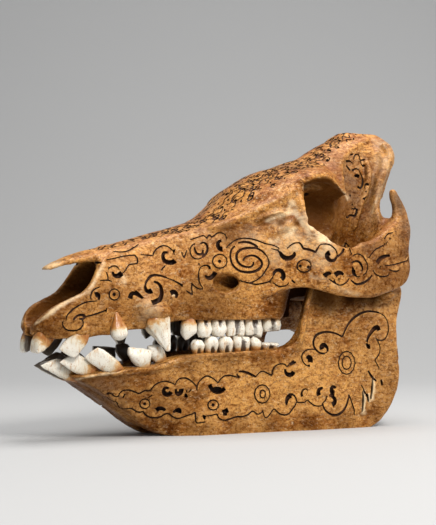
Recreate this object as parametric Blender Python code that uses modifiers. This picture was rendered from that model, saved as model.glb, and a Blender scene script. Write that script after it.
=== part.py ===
"""Carved wild boar skull with its lower jaw, in metres.

The snout points to -X, the crest of the skull to +X, and the lower jaw stands on z = 0. The skull is
mirrored about y = 0. Profiles are drawn in millimetres as rows read along X.
"""

import math

import bmesh
import bpy
import numpy as np
from mathutils import Vector

MM = 0.001
CENTRE_X = 6.57  # mm, the middle of the drawn skull along X
BONE_VOXEL = 2.4  # mm, the grid on which the shapes of a bone are joined
PLATE_VOXEL = 3.0  # mm, the same for the flat plates before they are bent
CRANIUM_TRIANGLES = 2350
MANDIBLE_TRIANGLES = 1140
GAP = 0.3  # mm, between a tooth and its socket, and between the two jaws
SEAM = 0.8  # mm, corners nearer than this to y = 0 are set on it before the bone is mirrored
ROOT_LENGTH = 10.0  # mm, of which a tooth has the share that its shape gives
BASE_CUT = 0.6  # mm, taken off under the jaw so that it stands on flat places
LOFT_STEP = 3.0  # mm, from one ring of a loft to the next
PLATE_HALF = 5.0  # mm, half the thickness of a flat plate before it is bent
PEG_SIDES = 8
MOLAR_SIDES = 10
CUSP = 1.3  # mm, how deep the end of a molar dips between its lobes
DOME = 1.5  # mm, how far the end of a premolar stands out in its middle
WAIST = 0.2  # share by which a molar is narrower between its two lobes

BONE = (0.42, 0.22, 0.085, 1.0)
JAWBONE = (0.38, 0.21, 0.09, 1.0)
ENAMEL = (0.86, 0.82, 0.72, 1.0)

# x, top of the midline, half-width and height of the roof's edge, half-width and height of the side,
# half-width and height of the tooth edge, height of the palate
FACE = (
    (-150, 79, 8, 79, 11, 76, 8, 73, 73),
    (-147, 84, 13, 83, 15, 78, 12, 71, 71),
    (-141, 89, 17, 89, 18, 82, 16, 70, 71),
    (-129, 95, 19.5, 95, 20.5, 84, 18, 70, 72),
    (-117, 101, 20, 101, 21, 86, 19, 70, 74),
    (-111, 108, 20, 108, 21, 92, 20, 71, 75),
    (-104, 119, 18, 119, 21, 100, 21, 72, 75),
    (-98, 129, 15, 124, 21, 104, 21, 72, 76),
    (-84, 134, 15, 129, 22, 104, 23, 75, 77),
    (-66, 139, 17, 132, 24, 104, 26, 77, 79),
    (-50, 143, 19, 136, 25, 106, 27, 81, 83),
    (-25, 150, 23, 141, 28, 112, 29, 82, 85),
    (-6, 157, 26, 147, 31, 114, 31, 82, 85),
    (8, 168, 30, 155, 35, 116, 32, 82, 84),
    (20, 179, 33, 162, 39, 120, 32.5, 82, 85),
    (32, 185, 36, 169, 42, 126, 33, 83, 86),
    (44, 191, 39, 177, 43, 134, 32, 84, 87),
    (50, 193, 41, 181, 43, 139, 29, 93, 96),
    (56, 195, 38, 184, 40, 144, 24, 108, 110),
    (62, 194, 30, 182, 30, 150, 15, 122, 124),
    (66, 192, 22, 176, 18, 154, 8, 132, 134),
)
# x, top, half-width and height of the upper edge, half-width and height of the wall, half-width and
# height of the base, bottom of the midline
BRAINCASE = (
    (36, 180, 22, 174, 22, 140, 18, 96, 92),
    (58, 192, 24, 182, 20, 140, 17, 98, 94),
    (80, 200, 23, 188, 22, 150, 18, 100, 96),
    (100, 208, 26, 193, 27, 158, 20, 102, 98),
    (120, 216, 22, 204, 29, 160, 23, 104, 100),
    (134, 219, 20, 210, 29, 158, 24, 106, 102),
    (142, 216, 16, 202, 26, 155, 20, 112, 108),
)
# x, middle of the roof, half-width and height of the brow's edge, thickness of the edge
BROW = (
    (18, 178, 30, 163, 10),
    (32, 185, 36, 170, 9),
    (46, 192, 41, 177, 8),
    (56, 195, 43, 182, 7),
    (68, 198, 45, 186, 6.5),
    (80, 203, 47, 184, 6),
    (88, 206, 49.5, 174, 6),
    (93, 209, 48, 172, 6),
    (98, 212, 39, 185, 6),
    (106, 216, 29, 198, 6),
    (118, 221, 23, 209, 6),
    (132, 225, 21, 217, 6),
    (144, 228, 20, 222, 5),
)
# z, front and back of the occipital plate, half-width at the back, how far the middle is set in
OCCIPUT = (
    (106, 118, 128, 20, 0),
    (120, 116, 133, 32, 1),
    (140, 116, 136, 42, 2),
    (156, 118, 138, 42, 3),
    (166, 120, 139, 36, 4),
    (180, 122, 144, 33, 5),
    (192, 124, 151, 32, 6),
    (204, 124, 160, 31, 7),
    (214, 122, 163, 27, 7),
    (222, 122, 164, 19, 4),
    (228, 130, 160, 10, 0),
)
# Outline of the cheek arch seen from the side: x, z
ARCH_OUTLINE = (
    (6, 112), (16, 122), (28, 133), (40, 147), (46, 160), (51, 163), (52, 150), (59, 141), (66, 137),
    (80, 141), (94, 138), (108, 140), (120, 147), (128, 152), (133.5, 155.5), (136.5, 161),
    (137, 167), (135, 171.5), (134.6, 177), (137.5, 180.7), (142, 178.7), (145, 174), (149.5, 168.5),
    (151.8, 161.5), (151.3, 153), (150.3, 143), (148.3, 132), (149.8, 124), (149.8, 119), (146.5, 111.5),
    (139, 105.5),
    (122, 101), (108, 98), (92, 98), (77, 100), (68, 103), (58, 107), (46, 108), (36, 104), (24, 98),
    (10, 100),
)
# x, place in y of the middle of the arch's plate, its thickness
ARCH_PLAN = (
    (0, 24, 8), (20, 33, 11), (36, 39.5, 11), (50, 46, 10), (66, 53, 8), (90, 57, 8), (110, 57, 9),
    (128, 55, 11), (152, 52, 10),
)
# Outline of one half of the lower jaw seen from the side: x, z
JAW_OUTLINE = (
    (-123, 44), (-115, 47), (-98, 48), (-84, 50), (-67, 50), (-55, 54), (-38, 57), (-5, 58), (22, 59),
    (37, 61), (47, 65), (54, 74), (58, 86), (62, 98), (67, 112), (72, 124), (79, 130), (86, 122),
    (92, 108), (102, 97), (114, 95), (122, 99), (131, 104), (140, 107.5), (147.5, 107.5), (150.3, 103), (148.6, 94),
    (144, 82), (142.5, 64), (143, 50), (142.5, 35), (139, 25), (133, 16), (127, 9), (119, 3), (105, -1), (60, -1.5),
    (10, -1.5), (-34, -1.2), (-54, 2), (-68.5, 9.5), (-84, 21), (-99.5, 31), (-112.5, 38.5),
)
# x, bottom, top and half-width of the chin
CHIN = (
    (-126, 43.5, 45, 8), (-120, 41, 45, 11.5), (-111, 36.5, 44, 13.5), (-100, 30, 42, 15), (-88, 22, 39, 15),
    (-76, 13.5, 36, 14.5), (-66, 8, 33, 13.5), (-56, 6, 28, 12),
)
# x, place in y of the middle of the jaw's half, thickness at the teeth and at the base
JAW_PLAN = (
    (-128, 6, 9, 8), (-118, 8.5, 12, 10), (-109, 11, 14.5, 12), (-90, 15, 16, 14), (-70, 17, 16, 14),
    (-50, 20, 15, 13), (-20, 24.5, 15, 12), (10, 29, 15, 12), (40, 35, 13, 11), (60, 39.5, 9, 9),
    (90, 44, 7, 7.5), (120, 47, 8, 8), (142, 47.3, 8, 9),
)
# Outline of the window through the right side of the lower jaw: x, z
WINDOW = ((83.5, 56), (84.5, 70.5), (100, 72), (117, 71.5), (128.5, 65), (120, 57.5), (102, 53))
WINDOW_DEPTH = (30, 62)  # mm, from where to where it is cut in Y
# x, top, half-width, thickness and fall to the sides of the nose bones' tongue
NOSE = (
    (-138, 117, 4.5, 2.6, 1), (-135, 118.4, 6.9, 2.8, 1.3), (-124, 123.5, 9.7, 3.4, 2.4),
    (-108, 128.5, 12.1, 4.2, 4.1), (-92, 132, 13.8, 5, 5.8), (-80, 135, 15, 5.6, 7),
)
# x, half-width, floor, top edge and top of the nasal cavity
NASAL_CAVITY = (
    (-160, 6, 78, 118, 120), (-152, 8, 78, 114, 116), (-141, 13, 80, 111, 113), (-128, 16, 83, 114, 116),
    (-112, 16.5, 85, 117, 120), (-102, 15.5, 87, 117, 122), (-94, 13, 89, 118, 125), (-80, 12, 91, 121, 128),
    (-64, 10, 94, 122, 128), (-48, 6, 100, 120, 124),
)
# z, front and back, inner and outer side of the shelf behind the temple
EAR_SHELF = (
    (109, 112, 141, 18, 56), (114, 112, 143, 18, 57), (126, 116, 143, 18, 58), (138, 121, 142, 18, 57),
    (148, 127, 141, 20, 55), (155, 132, 140, 22, 52), (159, 135, 139, 26, 48),
)
# Swellings of the cranium: centre, radii. The ear bulb, the skull's own condyle, two over the root of the
# canine, and the bone behind the eye
SWELLINGS = (
    ((114, 19, 98), (10, 7, 11)),
    ((137, 10, 112), (9, 7, 8)),
    ((-70, 21.5, 89), (11, 8.5, 10)),
    ((-63.5, 25, 86.5), (11, 8.5, 7)),
    ((75, 16, 158), (31, 21, 34)),
)
# Two processes that hang under the skull, beside the ear and behind the palate: corners x, y, low, high
PROCESSES = (
    (((123, 22), (126, 28), (132, 28), (134, 22), (128, 19)), 82, 116),
    (((44, 9), (48, 14), (60, 15), (66, 12), (58, 10)), 82, 104),
)
SKULL_BASE = ((92, 0, 104), (44, 15, 9))
# Hollows on both sides: centre, radii, tilt in degrees. Two for the cup of the eye socket, two for the hole
# over the cheek teeth, the groove in front of the eye, and the vault of the palate
SIDE_HOLLOWS = (
    ((75.5, 51, 161), (24, 34, 21), 0),
    ((83, 50, 150), (20, 23, 18), 0),
    ((-8, 31, 107.5), (11, 9, 6.6), 0),
    ((4, 24, 108), (14, 5, 5), 0),
    ((20, 53, 151), (30, 17, 9), 24),
    ((-30, 13, 78), (80, 10, 9), 0),
)
# Hollows in the middle: behind the palate, the hole for the spine, the back of the crest, and the notch
# between the first incisors
MIDDLE_HOLLOWS = (
    ((52, 0, 98), (18, 9, 8)),
    ((146, 0, 124), (16, 9, 9)),
    ((170, 0, 172), (18, 22, 34)),
    ((-152, 0, 76), (9, 1.8, 12)),
)
CONDYLE = ((130, 45, 98.5), (7, 12, 4.5))  # the cross-piece on which the lower jaw hinges: centre, radii
# Shapes of teeth: place along the tooth as a share of its crown, width, depth. Below 0 is the root.
PEG = ((-0.75, 0.5, 0.5), (0, 0.82, 0.8), (0.45, 1, 1), (0.8, 0.9, 0.8), (1, 0.5, 0.4))
CONE = ((-1.05, 0.16, 0.2), (-0.5, 0.55, 0.55), (0, 0.95, 0.9), (0.5, 1, 1), (0.85, 0.84, 0.8), (1, 0.5, 0.4))
CHISEL = ((-0.6, 0.6, 0.6), (0, 0.9, 1), (0.45, 1, 0.9), (0.8, 1, 0.55), (1, 0.9, 0.22))
SPIKE = ((-0.5, 0.5, 0.5), (-0.1, 0.9, 0.9), (0.06, 1, 1), (0.45, 0.7, 0.7), (0.8, 0.36, 0.36), (1, 0.16, 0.18))
WEDGE = ((-0.6, 0.36, 0.5), (0, 0.55, 0.75), (0.5, 0.85, 1), (0.85, 1, 0.75), (1, 0.82, 0.35))
MOLAR = ((-0.6, 0.6, 0.6), (0, 0.84, 0.8), (0.7, 1, 1), (1, 0.9, 0.6))
PREMOLAR = ((-0.6, 0.6, 0.6), (0, 0.8, 0.78), (0.7, 1, 1), (1, 0.72, 0.5))
# name, middle of the gum line, tip, width, depth, turn of the width from X in degrees, shape, how far the
# tip's front edge stands before its back edge
UPPER_TEETH = (
    ("incisor_1", (-140.5, 7.8, 73), (-149, 7.6, 60.6), 10.5, 12.5, 82, CHISEL, 0),
    ("incisor_2", (-119, 16.5, 71), (-129.5, 16, 59.5), 13, 8, 12, CHISEL, 1.2),
    ("incisor_3", (-93.2, 22.2, 76.4), (-92.4, 23.2, 68.4), 11.4, 9, 5, CONE, 0),
    ("canine", (-64.5, 25, 82), (-57, 29.5, 60.5), 19, 13, 5, SPIKE, 0),
    ("premolar_1", (-36.5, 24.5, 81), (-36.9, 25, 68.8), 12, 8, 2, PEG, 1.5),
    ("premolar_2", (-23.2, 24.3, 81.5), (-23.2, 24.8, 68.9), 11.6, 8, 3, PREMOLAR, 0.2),
    ("premolar_3", (-11.1, 24.8, 82), (-11.1, 25.3, 69.2), 11.9, 9, 3, PREMOLAR, 0),
    ("premolar_4", (3.4, 25.2, 82), (3.4, 25.8, 69.4), 15.4, 10, 3, MOLAR, 0.1),
    ("molar_1", (19.3, 25.6, 82), (19.3, 26.2, 69.1), 15, 10, 3, MOLAR, -0.9),
    ("molar_2", (36.2, 26, 83.5), (36.2, 26.6, 72.6), 15.6, 10, 3, MOLAR, 0.4),
)
LOWER_TEETH = (
    ("incisor_1", (-119, 4.4, 45), (-136.5, 4.4, 53.6), 10.6, 7, 0, CHISEL, 4.6),
    ("incisor_2", (-109, 12.4, 47), (-126.8, 12, 56.6), 12, 7.2, 2, CHISEL, 3.6),
    ("incisor_3", (-94.5, 19.2, 49), (-112.4, 18.8, 59.8), 12, 7.4, 12, CHISEL, 1.8),
    ("canine", (-72.5, 21.8, 50.2), (-77.4, 23.2, 61.8), 17.6, 10, 4, WEDGE, 3.8),
    ("premolar_1", (-57.3, 20.6, 53.5), (-64.8, 20.6, 63.6), 11, 7.5, 5, PEG, 1.4),
    ("premolar_2", (-28.4, 23.6, 58), (-28.4, 24.1, 67.2), 10.2, 7.5, 6, PREMOLAR, 0),
    ("premolar_3", (-17.6, 25, 58.5), (-17.6, 25.4, 69.4), 10.4, 8, 6, PREMOLAR, 0),
    ("premolar_4", (-6, 26.4, 58.5), (-6, 26.9, 69.2), 11.2, 8.5, 6, PREMOLAR, 0),
    ("molar_1", (6.8, 28.2, 59), (6.8, 28.6, 68.9), 13.2, 9, 6, MOLAR, 0.2),
    ("molar_2", (18.3, 29.7, 59.5), (18.3, 30.1, 67.8), 8.2, 9.4, 6, PEG, 0.8),
    ("molar_3", (30.8, 31.4, 61), (30.8, 31.6, 64.2), 14, 8.5, 8, MOLAR, 0),
)


def between(rows, place):
    """Reads a profile, drawn as rows of (place, value, ...), smoothly at any place."""
    knots = np.array(rows, float)
    along = knots[:, 0]
    slopes = np.gradient(knots[:, 1:], along, axis=0)
    first = int(np.clip(np.searchsorted(along, place) - 1, 0, len(along) - 2))
    step = along[first + 1] - along[first]
    t = min(max((place - along[first]) / step, 0.0), 1.0)
    start = (2 * t**3 - 3 * t**2 + 1) * knots[first, 1:] + (t**3 - 2 * t**2 + t) * step * slopes[first]
    end = (3 * t**2 - 2 * t**3) * knots[first + 1, 1:] + (t**3 - t**2) * step * slopes[first + 1]
    return start + end


def rounded(corners, steps):
    """A smooth closed line through the corners, with a number of steps from each to the next."""
    count = len(corners)
    line = []
    for i in range(count):
        a, b, c, d = (np.array(corners[(i + k) % count], float) for k in (-1, 0, 1, 2))
        for k in range(steps):
            t = k / steps
            line.append(0.5 * (2 * b + (c - a) * t + (2 * a - 5 * b + 4 * c - d) * t**2
                               + (3 * b - a - 3 * c + d) * t**3))
    return line


def add_object(name, mesh, collection):
    """An object for a mesh, in a collection."""
    made = bpy.data.objects.new(name, mesh)
    collection.objects.link(made)
    return made


def mesh_of_rings(name, rings):
    """A closed mesh through rings of points in millimetres, each with the same number of points."""
    shape = bmesh.new()
    rows = []
    for ring in rings:
        rows.append([shape.verts.new(Vector(point) * MM) for point in ring])
    for low, high in zip(rows, rows[1:]):
        for i in range(len(low)):
            j = (i + 1) % len(low)
            shape.faces.new((low[i], low[j], high[j], high[i]))
    shape.faces.new(rows[0][::-1])
    shape.faces.new(rows[-1])
    bmesh.ops.recalc_face_normals(shape, faces=shape.faces)
    mesh = bpy.data.meshes.new(name)
    shape.to_mesh(mesh)
    shape.free()
    return mesh


def applied(made):
    """The object with its modifiers applied."""
    graph = bpy.context.evaluated_depsgraph_get()
    mesh = bpy.data.meshes.new_from_object(made.evaluated_get(graph))
    old = made.data
    made.modifiers.clear()
    made.data = mesh
    if old.users == 0:
        bpy.data.meshes.remove(old)
    return made


def remeshed(made, voxel):
    """The object rebuilt as one skin on a grid of the given voxel."""
    remesh = made.modifiers.new("Remesh", "REMESH")
    remesh.mode = "VOXEL"
    remesh.voxel_size = voxel * MM
    return applied(made)


def smoothed(made, turns):
    """The object with its skin relaxed."""
    smooth = made.modifiers.new("Smooth", "SMOOTH")
    smooth.factor = 0.5
    smooth.iterations = turns
    return applied(made)


def joined(name, meshes, collection):
    """One object of several meshes, each still a body of its own."""
    shape = bmesh.new()
    for mesh in meshes:
        shape.from_mesh(mesh)
        bpy.data.meshes.remove(mesh)
    mesh = bpy.data.meshes.new(name)
    shape.to_mesh(mesh)
    shape.free()
    return add_object(name, mesh, collection)


def moved(mesh, change):
    """The mesh with a change made to its points, which are handed over in millimetres."""
    points = np.empty(len(mesh.vertices) * 3)
    mesh.vertices.foreach_get("co", points)
    points = change(points.reshape(-1, 3) / MM)
    mesh.vertices.foreach_set("co", points.reshape(-1) * MM)
    mesh.update()
    return mesh


def mirrored(mesh):
    """A copy of the mesh on the other side of y = 0."""
    copy = mesh.copy()
    moved(copy, lambda points: points * (1, -1, 1))
    copy.flip_normals()
    return copy


def egg(centre, radii, tilt=0):
    """An ellipsoid, its nose-to-tail axis tilted up at the back by an angle in degrees."""
    shape = bmesh.new()
    bmesh.ops.create_uvsphere(shape, u_segments=20, v_segments=12, radius=MM)
    mesh = bpy.data.meshes.new("egg")
    shape.to_mesh(mesh)
    shape.free()
    rise = math.radians(tilt)
    turned = np.array(((math.cos(rise), 0, math.sin(rise)), (0, 1, 0), (-math.sin(rise), 0, math.cos(rise))))
    return moved(mesh, lambda points: (points * radii) @ turned + centre)


def skull_ring(x, half):
    """A closed ring across the skull through the points (y, z) of one half, from top to bottom."""
    other = [(-y, z) for y, z in half[-2:0:-1]]
    return [(x, y, z) for y, z in rounded(list(half) + other, 3)]


def body_of(rows):
    """A loft along X through profiles of top, edge, side, base and bottom."""
    rings = []
    for x in np.arange(rows[0][0], rows[-1][0] + LOFT_STEP / 2, LOFT_STEP):
        top, edge_y, edge_z, side_y, side_z, base_y, base_z, floor = between(rows, x)
        half = ((0, top), (edge_y * 0.6, (top * 2 + edge_z) / 3), (edge_y, edge_z),
                (side_y, side_z), (base_y, base_z + 3), (base_y - 3, base_z - 1), (0, floor))
        rings.append(skull_ring(x, half))
    return mesh_of_rings("body", rings)


def brow_roof(rows):
    """The shelf of the forehead, which ends over the eye sockets in a thin edge."""
    rings = []
    for x in np.arange(rows[0][0], rows[-1][0] + LOFT_STEP / 2, LOFT_STEP):
        top, edge_y, edge_z, thick = between(rows, x)
        half = ((0, top), (edge_y * 0.55, top * 0.62 + edge_z * 0.38 + 2), (edge_y - 3, edge_z + thick * 0.7),
                (edge_y, edge_z), (edge_y - 4, edge_z - thick * 0.3), (edge_y * 0.5, edge_z - 4),
                (0, edge_z - 4))
        rings.append(skull_ring(x, half))
    return mesh_of_rings("brow", rings)


def occiput(rows):
    """The plate at the back of the skull, which flares to the crest, as a loft along Z."""
    rings = []
    for z in np.arange(rows[0][0], rows[-1][0] + LOFT_STEP / 2, LOFT_STEP):
        front, back, wide, hollow = between(rows, z)
        half = ((front, 0), (front + 2, wide * 0.6), (back - 9, wide * 0.92), (back - 2.5, wide),
                (back, wide * 0.86), (back - hollow * 0.8, wide * 0.4), (back - hollow, 0))
        outline = [(x, -y) for x, y in half[-2:0:-1]]
        rings.append([(x, y, z) for x, y in rounded(list(half) + outline, 3)])
    return mesh_of_rings("occiput", rings)


def nose_roof():
    """The tongue of the nose bones over the nostrils, hollow on its underside."""
    rings = []
    for x in np.arange(NOSE[0][0], NOSE[-1][0] + 1, LOFT_STEP):
        top, wide, thick, drop = between(NOSE, x)
        half = ((0, top), (wide * 0.6, top - drop * 0.35), (wide, top - drop), (wide - 1, top - drop - thick),
                (wide * 0.5, top - drop * 0.5 - thick), (0, top - thick * 1.1))
        rings.append(skull_ring(x, half))
    return mesh_of_rings("nose", rings)


def nasal_cavity():
    """The space between the snout's side walls, open at the front."""
    rings = []
    for x in np.arange(NASAL_CAVITY[0][0], NASAL_CAVITY[-1][0] + 1, LOFT_STEP):
        wide, floor, edge, top = between(NASAL_CAVITY, x)
        half = ((0, top), (wide * 0.8, edge), (wide, (floor + edge) / 2), (wide * 0.8, floor + 3), (0, floor))
        rings.append(skull_ring(x, half))
    return mesh_of_rings("cavity", rings)


def plate(outline, plan, bend):
    """A flat plate with a side outline, bent and thickened along the skull."""
    curve = bpy.data.curves.new("outline", "CURVE")
    curve.dimensions = "2D"
    curve.fill_mode = "BOTH"
    curve.extrude = PLATE_HALF * MM
    line = rounded(outline, 2)
    spline = curve.splines.new("POLY")
    spline.points.add(len(line) - 1)
    for point, (x, z) in zip(spline.points, line):
        point.co = (x * MM, z * MM, 0, 1)
    spline.use_cyclic_u = True
    flat = add_object("plate", curve, bpy.context.scene.collection)
    graph = bpy.context.evaluated_depsgraph_get()
    mesh = bpy.data.meshes.new_from_object(flat.evaluated_get(graph))
    bpy.data.objects.remove(flat)
    bpy.data.curves.remove(curve)
    shape = bmesh.new()
    shape.from_mesh(mesh)
    bmesh.ops.remove_doubles(shape, verts=shape.verts, dist=1e-6)
    bmesh.ops.recalc_face_normals(shape, faces=shape.faces)
    shape.to_mesh(mesh)
    shape.free()
    moved(mesh, lambda points: points[:, [0, 2, 1]] * (1, -1, 1))
    solid = remeshed(add_object("plate", mesh, bpy.context.scene.collection), PLATE_VOXEL)
    mesh = moved(solid.data, lambda points: bend(points, plan))
    bpy.data.objects.remove(solid)
    return mesh


def bend_arch(points, plan):
    """Sets the arch's plate in place: out from the cheek, then back to the ear and its thin spike."""
    place = np.array([between(plan, x) for x in points[:, 0]])
    lean = np.clip((points[:, 2] - 150) / 30, 0, 1) * 4
    rise = np.clip((points[:, 2] - 138) / 20, 0, 1) * np.clip((60 - points[:, 0]) / 20, 0, 1)
    spike = np.clip((points[:, 2] - 150) / 16, 0, 1) * np.clip((points[:, 0] - 110) / 10, 0, 1)
    thin = (1 - 0.35 * rise) * (1 - 0.4 * spike)
    points[:, 1] = points[:, 1] / PLATE_HALF * place[:, 1] / 2 * thin + place[:, 0] - lean - 2 * rise - spike
    return points


def bend_jaw(points, plan):
    """Sets one half of the lower jaw in place, splayed from the keel of the chin to the ramus."""
    place = np.array([between(plan, x) for x in points[:, 0]])
    up = np.clip(points[:, 2] / 58, 0, 1)
    thick = place[:, 2] * (1 - up) + place[:, 1] * up
    ramus = np.clip((points[:, 0] - 40) / 25, 0, 1)
    belly = 1 - 0.25 * np.sin(up * math.pi) * (1 - ramus)
    splay = (points[:, 2] - 30) * 0.06 * ramus
    keel = np.clip((36 - points[:, 2]) / 36, 0, 1) * np.clip((-28 - points[:, 0]) / 34, 0, 1)
    thick = thick * belly * (1 - 0.3 * keel)
    points[:, 1] = points[:, 1] / PLATE_HALF * thick / 2 + place[:, 0] * (1 - 0.6 * keel) - splay
    return points


def chin():
    """The spout in which the two halves of the lower jaw meet."""
    rings = []
    for x in np.arange(CHIN[0][0], CHIN[-1][0] + 1, LOFT_STEP):
        low, high, wide = between(CHIN, x)
        half = ((0, high), (wide * 0.7, high + 1), (wide, (low + high) / 2 + 2), (wide * 0.6, low + 2), (0, low))
        rings.append(skull_ring(x, half))
    return mesh_of_rings("chin", rings)


def slab(corners, low, high):
    """An upright block with rounded corners, between two heights."""
    rings = []
    for z in np.linspace(low, high, 6):
        rings.append([(x, y, z) for x, y in rounded(corners, 3)])
    return mesh_of_rings("slab", rings)


def ear_shelf():
    """The bone that joins the back of the skull to the cheek arch."""
    rings = []
    for z in np.arange(EAR_SHELF[0][0], EAR_SHELF[-1][0] + 1, LOFT_STEP):
        front, back, near, far = between(EAR_SHELF, z)
        corners = ((front, near), (front + 1, (near + far) / 2), (front + 3, far), (back, far - 2),
                   (back + 1, (near + far) / 2), (back, near))
        rings.append([(x, y, z) for x, y in rounded(corners, 3)])
    return mesh_of_rings("ear_shelf", rings)


def cranium_solids():
    """What the cranium is made of, before it is hollowed."""
    side = [plate(ARCH_OUTLINE, ARCH_PLAN, bend_arch), ear_shelf()]
    side += [egg(centre, radii) for centre, radii in SWELLINGS]
    side += [slab(corners, low, high) for corners, low, high in PROCESSES]
    middle = [
        body_of(FACE),
        body_of(BRAINCASE),
        brow_roof(BROW),
        occiput(OCCIPUT),
        nose_roof(),
        egg(*SKULL_BASE),
    ]
    return middle + side + [mirrored(mesh) for mesh in side]


def cranium_hollows():
    """What is taken away from the cranium."""
    side = [egg(centre, radii, tilt) for centre, radii, tilt in SIDE_HOLLOWS]
    middle = [nasal_cavity()] + [egg(centre, radii) for centre, radii in MIDDLE_HOLLOWS]
    return middle + side + [mirrored(mesh) for mesh in side]


def bone_of(name, solids, hollows, triangles, scratch):
    """One bone: its solids joined, hollowed, relaxed and brought down to a number of triangles."""
    bone = remeshed(joined(name, solids, scratch), BONE_VOXEL)
    if hollows:
        space = remeshed(joined("space", hollows, scratch), BONE_VOXEL)
        cut = bone.modifiers.new("Hollow", "BOOLEAN")
        cut.operation = "DIFFERENCE"
        cut.object = space
        applied(bone)
        bpy.data.objects.remove(space)
        bone = remeshed(bone, BONE_VOXEL)
    smoothed(bone, 5)
    fewer = bone.modifiers.new("Fewer", "DECIMATE")
    fewer.ratio = triangles / (2 * len(bone.data.polygons))
    applied(bone)
    moved(bone.data, lambda points: points * np.where(abs(points) < SEAM, (1, 0, 1), 1))
    mirror = bone.modifiers.new("Mirror", "MIRROR")
    mirror.use_axis = (False, True, False)
    mirror.use_bisect_axis = (False, True, False)
    mirror.merge_threshold = 1e-4
    applied(bone)
    moved(bone.data, lambda points: points - (CENTRE_X, 0, BASE_CUT))
    bone.data.shade_smooth()
    return bone


def tooth_ring(shape, angle, across, through):
    """A corner of a ring across a tooth, from its half-width and half-depth, and how far it is raised."""
    across *= math.copysign(abs(math.cos(angle)) ** 0.8, math.cos(angle))
    through *= math.copysign(abs(math.sin(angle)) ** 0.8, math.sin(angle))
    if shape is PREMOLAR:
        return across, through, -DOME * math.cos(angle) ** 2
    if shape is not MOLAR:
        return across, through, 0
    return across, through * (1 - WAIST * abs(math.sin(angle)) ** 8), -CUSP * math.cos(2 * angle) ** 2


def tooth_mesh(gum, tip, wide, deep, turn, shape, slant, grow):
    """A tooth from the end of its root to its tip, grown all round by some millimetres."""
    base = Vector(gum)
    along = Vector(tip) - base
    length = along.length
    along.normalize()
    angle = math.radians(turn)
    flat = Vector((math.cos(angle), math.sin(angle), 0))
    flat = (flat - along * flat.dot(along)).normalized()
    thin = along.cross(flat)
    ends = {shape[0][0]: -grow, shape[-1][0]: grow}
    sides = MOLAR_SIDES if shape in (MOLAR, PREMOLAR) else PEG_SIDES
    rings = []
    for share, width, depth in shape:
        reach = share * length if share >= 0 else share * ROOT_LENGTH
        reach += ends.get(share, 0)
        ring = []
        for k in range(sides):
            corner = 2 * math.pi * (k + 0.5) / sides
            across, through, lift = tooth_ring(shape, corner, wide * width / 2 + grow, deep * depth / 2 + grow)
            if share < 1:
                lift = 0
            lift -= slant * max(2 * share - 1, 0) * 2 * across / wide
            ring.append(base + along * (reach + lift) + flat * across + thin * through)
        rings.append(ring)
    return mesh_of_rings("tooth", rings)


def cut_away(bone, name, mesh, cutters):
    """Takes a shape away from a bone."""
    cutter = add_object(name, mesh, cutters)
    cutter.hide_render = True
    cutter.display_type = "WIRE"
    cut = bone.modifiers.new(name, "BOOLEAN")
    cut.operation = "DIFFERENCE"
    cut.object = cutter


def add_teeth(jaw, rows, bone, skull, cutters):
    """The teeth of one jaw, left and right, each in a socket cut in its bone."""
    for side, sign in (("left", -1), ("right", 1)):
        for name, gum, tip, wide, deep, turn, shape, slant in rows:
            gum, tip = ((p[0] - CENTRE_X, p[1] * sign, p[2] - BASE_CUT) for p in (gum, tip))
            mesh = tooth_mesh(gum, tip, wide, deep, turn * sign, shape, slant, 0)
            tooth = add_object(f"{jaw}_{side}_{name}", mesh, skull)
            tooth.data.shade_smooth()
            paint(tooth, "enamel", ENAMEL, 0.35)
            mesh = tooth_mesh(gum, tip, wide, deep, turn * sign, shape, slant, GAP)
            cut_away(bone, f"socket_{jaw}_{side}_{name}", mesh, cutters)


def floor_block():
    """What is under z = 0, so that the lower jaw stands on flat places."""
    corners = ((-150, -80), (150, -80), (150, 80), (-150, 80))
    return mesh_of_rings("floor", [[(x, y, z) for x, y in corners] for z in (-10, 0)])


def window_block():
    """The window through the right side of the lower jaw, under the cheek arch."""
    outline = rounded(WINDOW, 3)
    return mesh_of_rings("window", [[(x - CENTRE_X, y, z - BASE_CUT) for x, z in outline] for y in WINDOW_DEPTH])


def paint(made, name, colour, roughness):
    """A plain material for an object."""
    material = bpy.data.materials.get(name) or bpy.data.materials.new(name)
    material.use_nodes = True
    shader = material.node_tree.nodes["Principled BSDF"]
    shader.inputs["Base Color"].default_value = colour
    shader.inputs["Roughness"].default_value = roughness
    shader.inputs["Metallic"].default_value = 0.0
    material.diffuse_color = colour
    made.data.materials.clear()
    made.data.materials.append(material)


def main():
    for old in list(bpy.data.objects):
        bpy.data.objects.remove(old)
    skull = bpy.data.collections.new("Carved_boar_skull")
    cutters = bpy.data.collections.new("Cutters")
    bpy.context.scene.collection.children.link(skull)
    bpy.context.scene.collection.children.link(cutters)
    cranium = bone_of("cranium", cranium_solids(), cranium_hollows(), CRANIUM_TRIANGLES, skull)
    paint(cranium, "stained_bone", BONE, 0.5)
    half = plate(JAW_OUTLINE, JAW_PLAN, bend_jaw)
    hinge = egg(*CONDYLE)
    solids = [half, mirrored(half), hinge, mirrored(hinge), chin()]
    mandible = bone_of("mandible", solids, [], MANDIBLE_TRIANGLES, skull)
    paint(mandible, "stained_jawbone", JAWBONE, 0.5)
    cut_away(mandible, "clearance", cranium.data.copy(), cutters)
    grow = bpy.data.objects["clearance"].modifiers.new("Grow", "DISPLACE")
    grow.strength = GAP * MM
    grow.mid_level = 0.0
    cut_away(mandible, "floor", floor_block(), cutters)
    cut_away(mandible, "window", window_block(), cutters)
    add_teeth("upper", UPPER_TEETH, cranium, skull, cutters)
    add_teeth("lower", LOWER_TEETH, mandible, skull, cutters)


main()
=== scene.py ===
# Carved boar skull: the looks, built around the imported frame.
# Shapes are drawn in millimetres, as rows read along X, and put in the frame's place at the end.
import math

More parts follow.
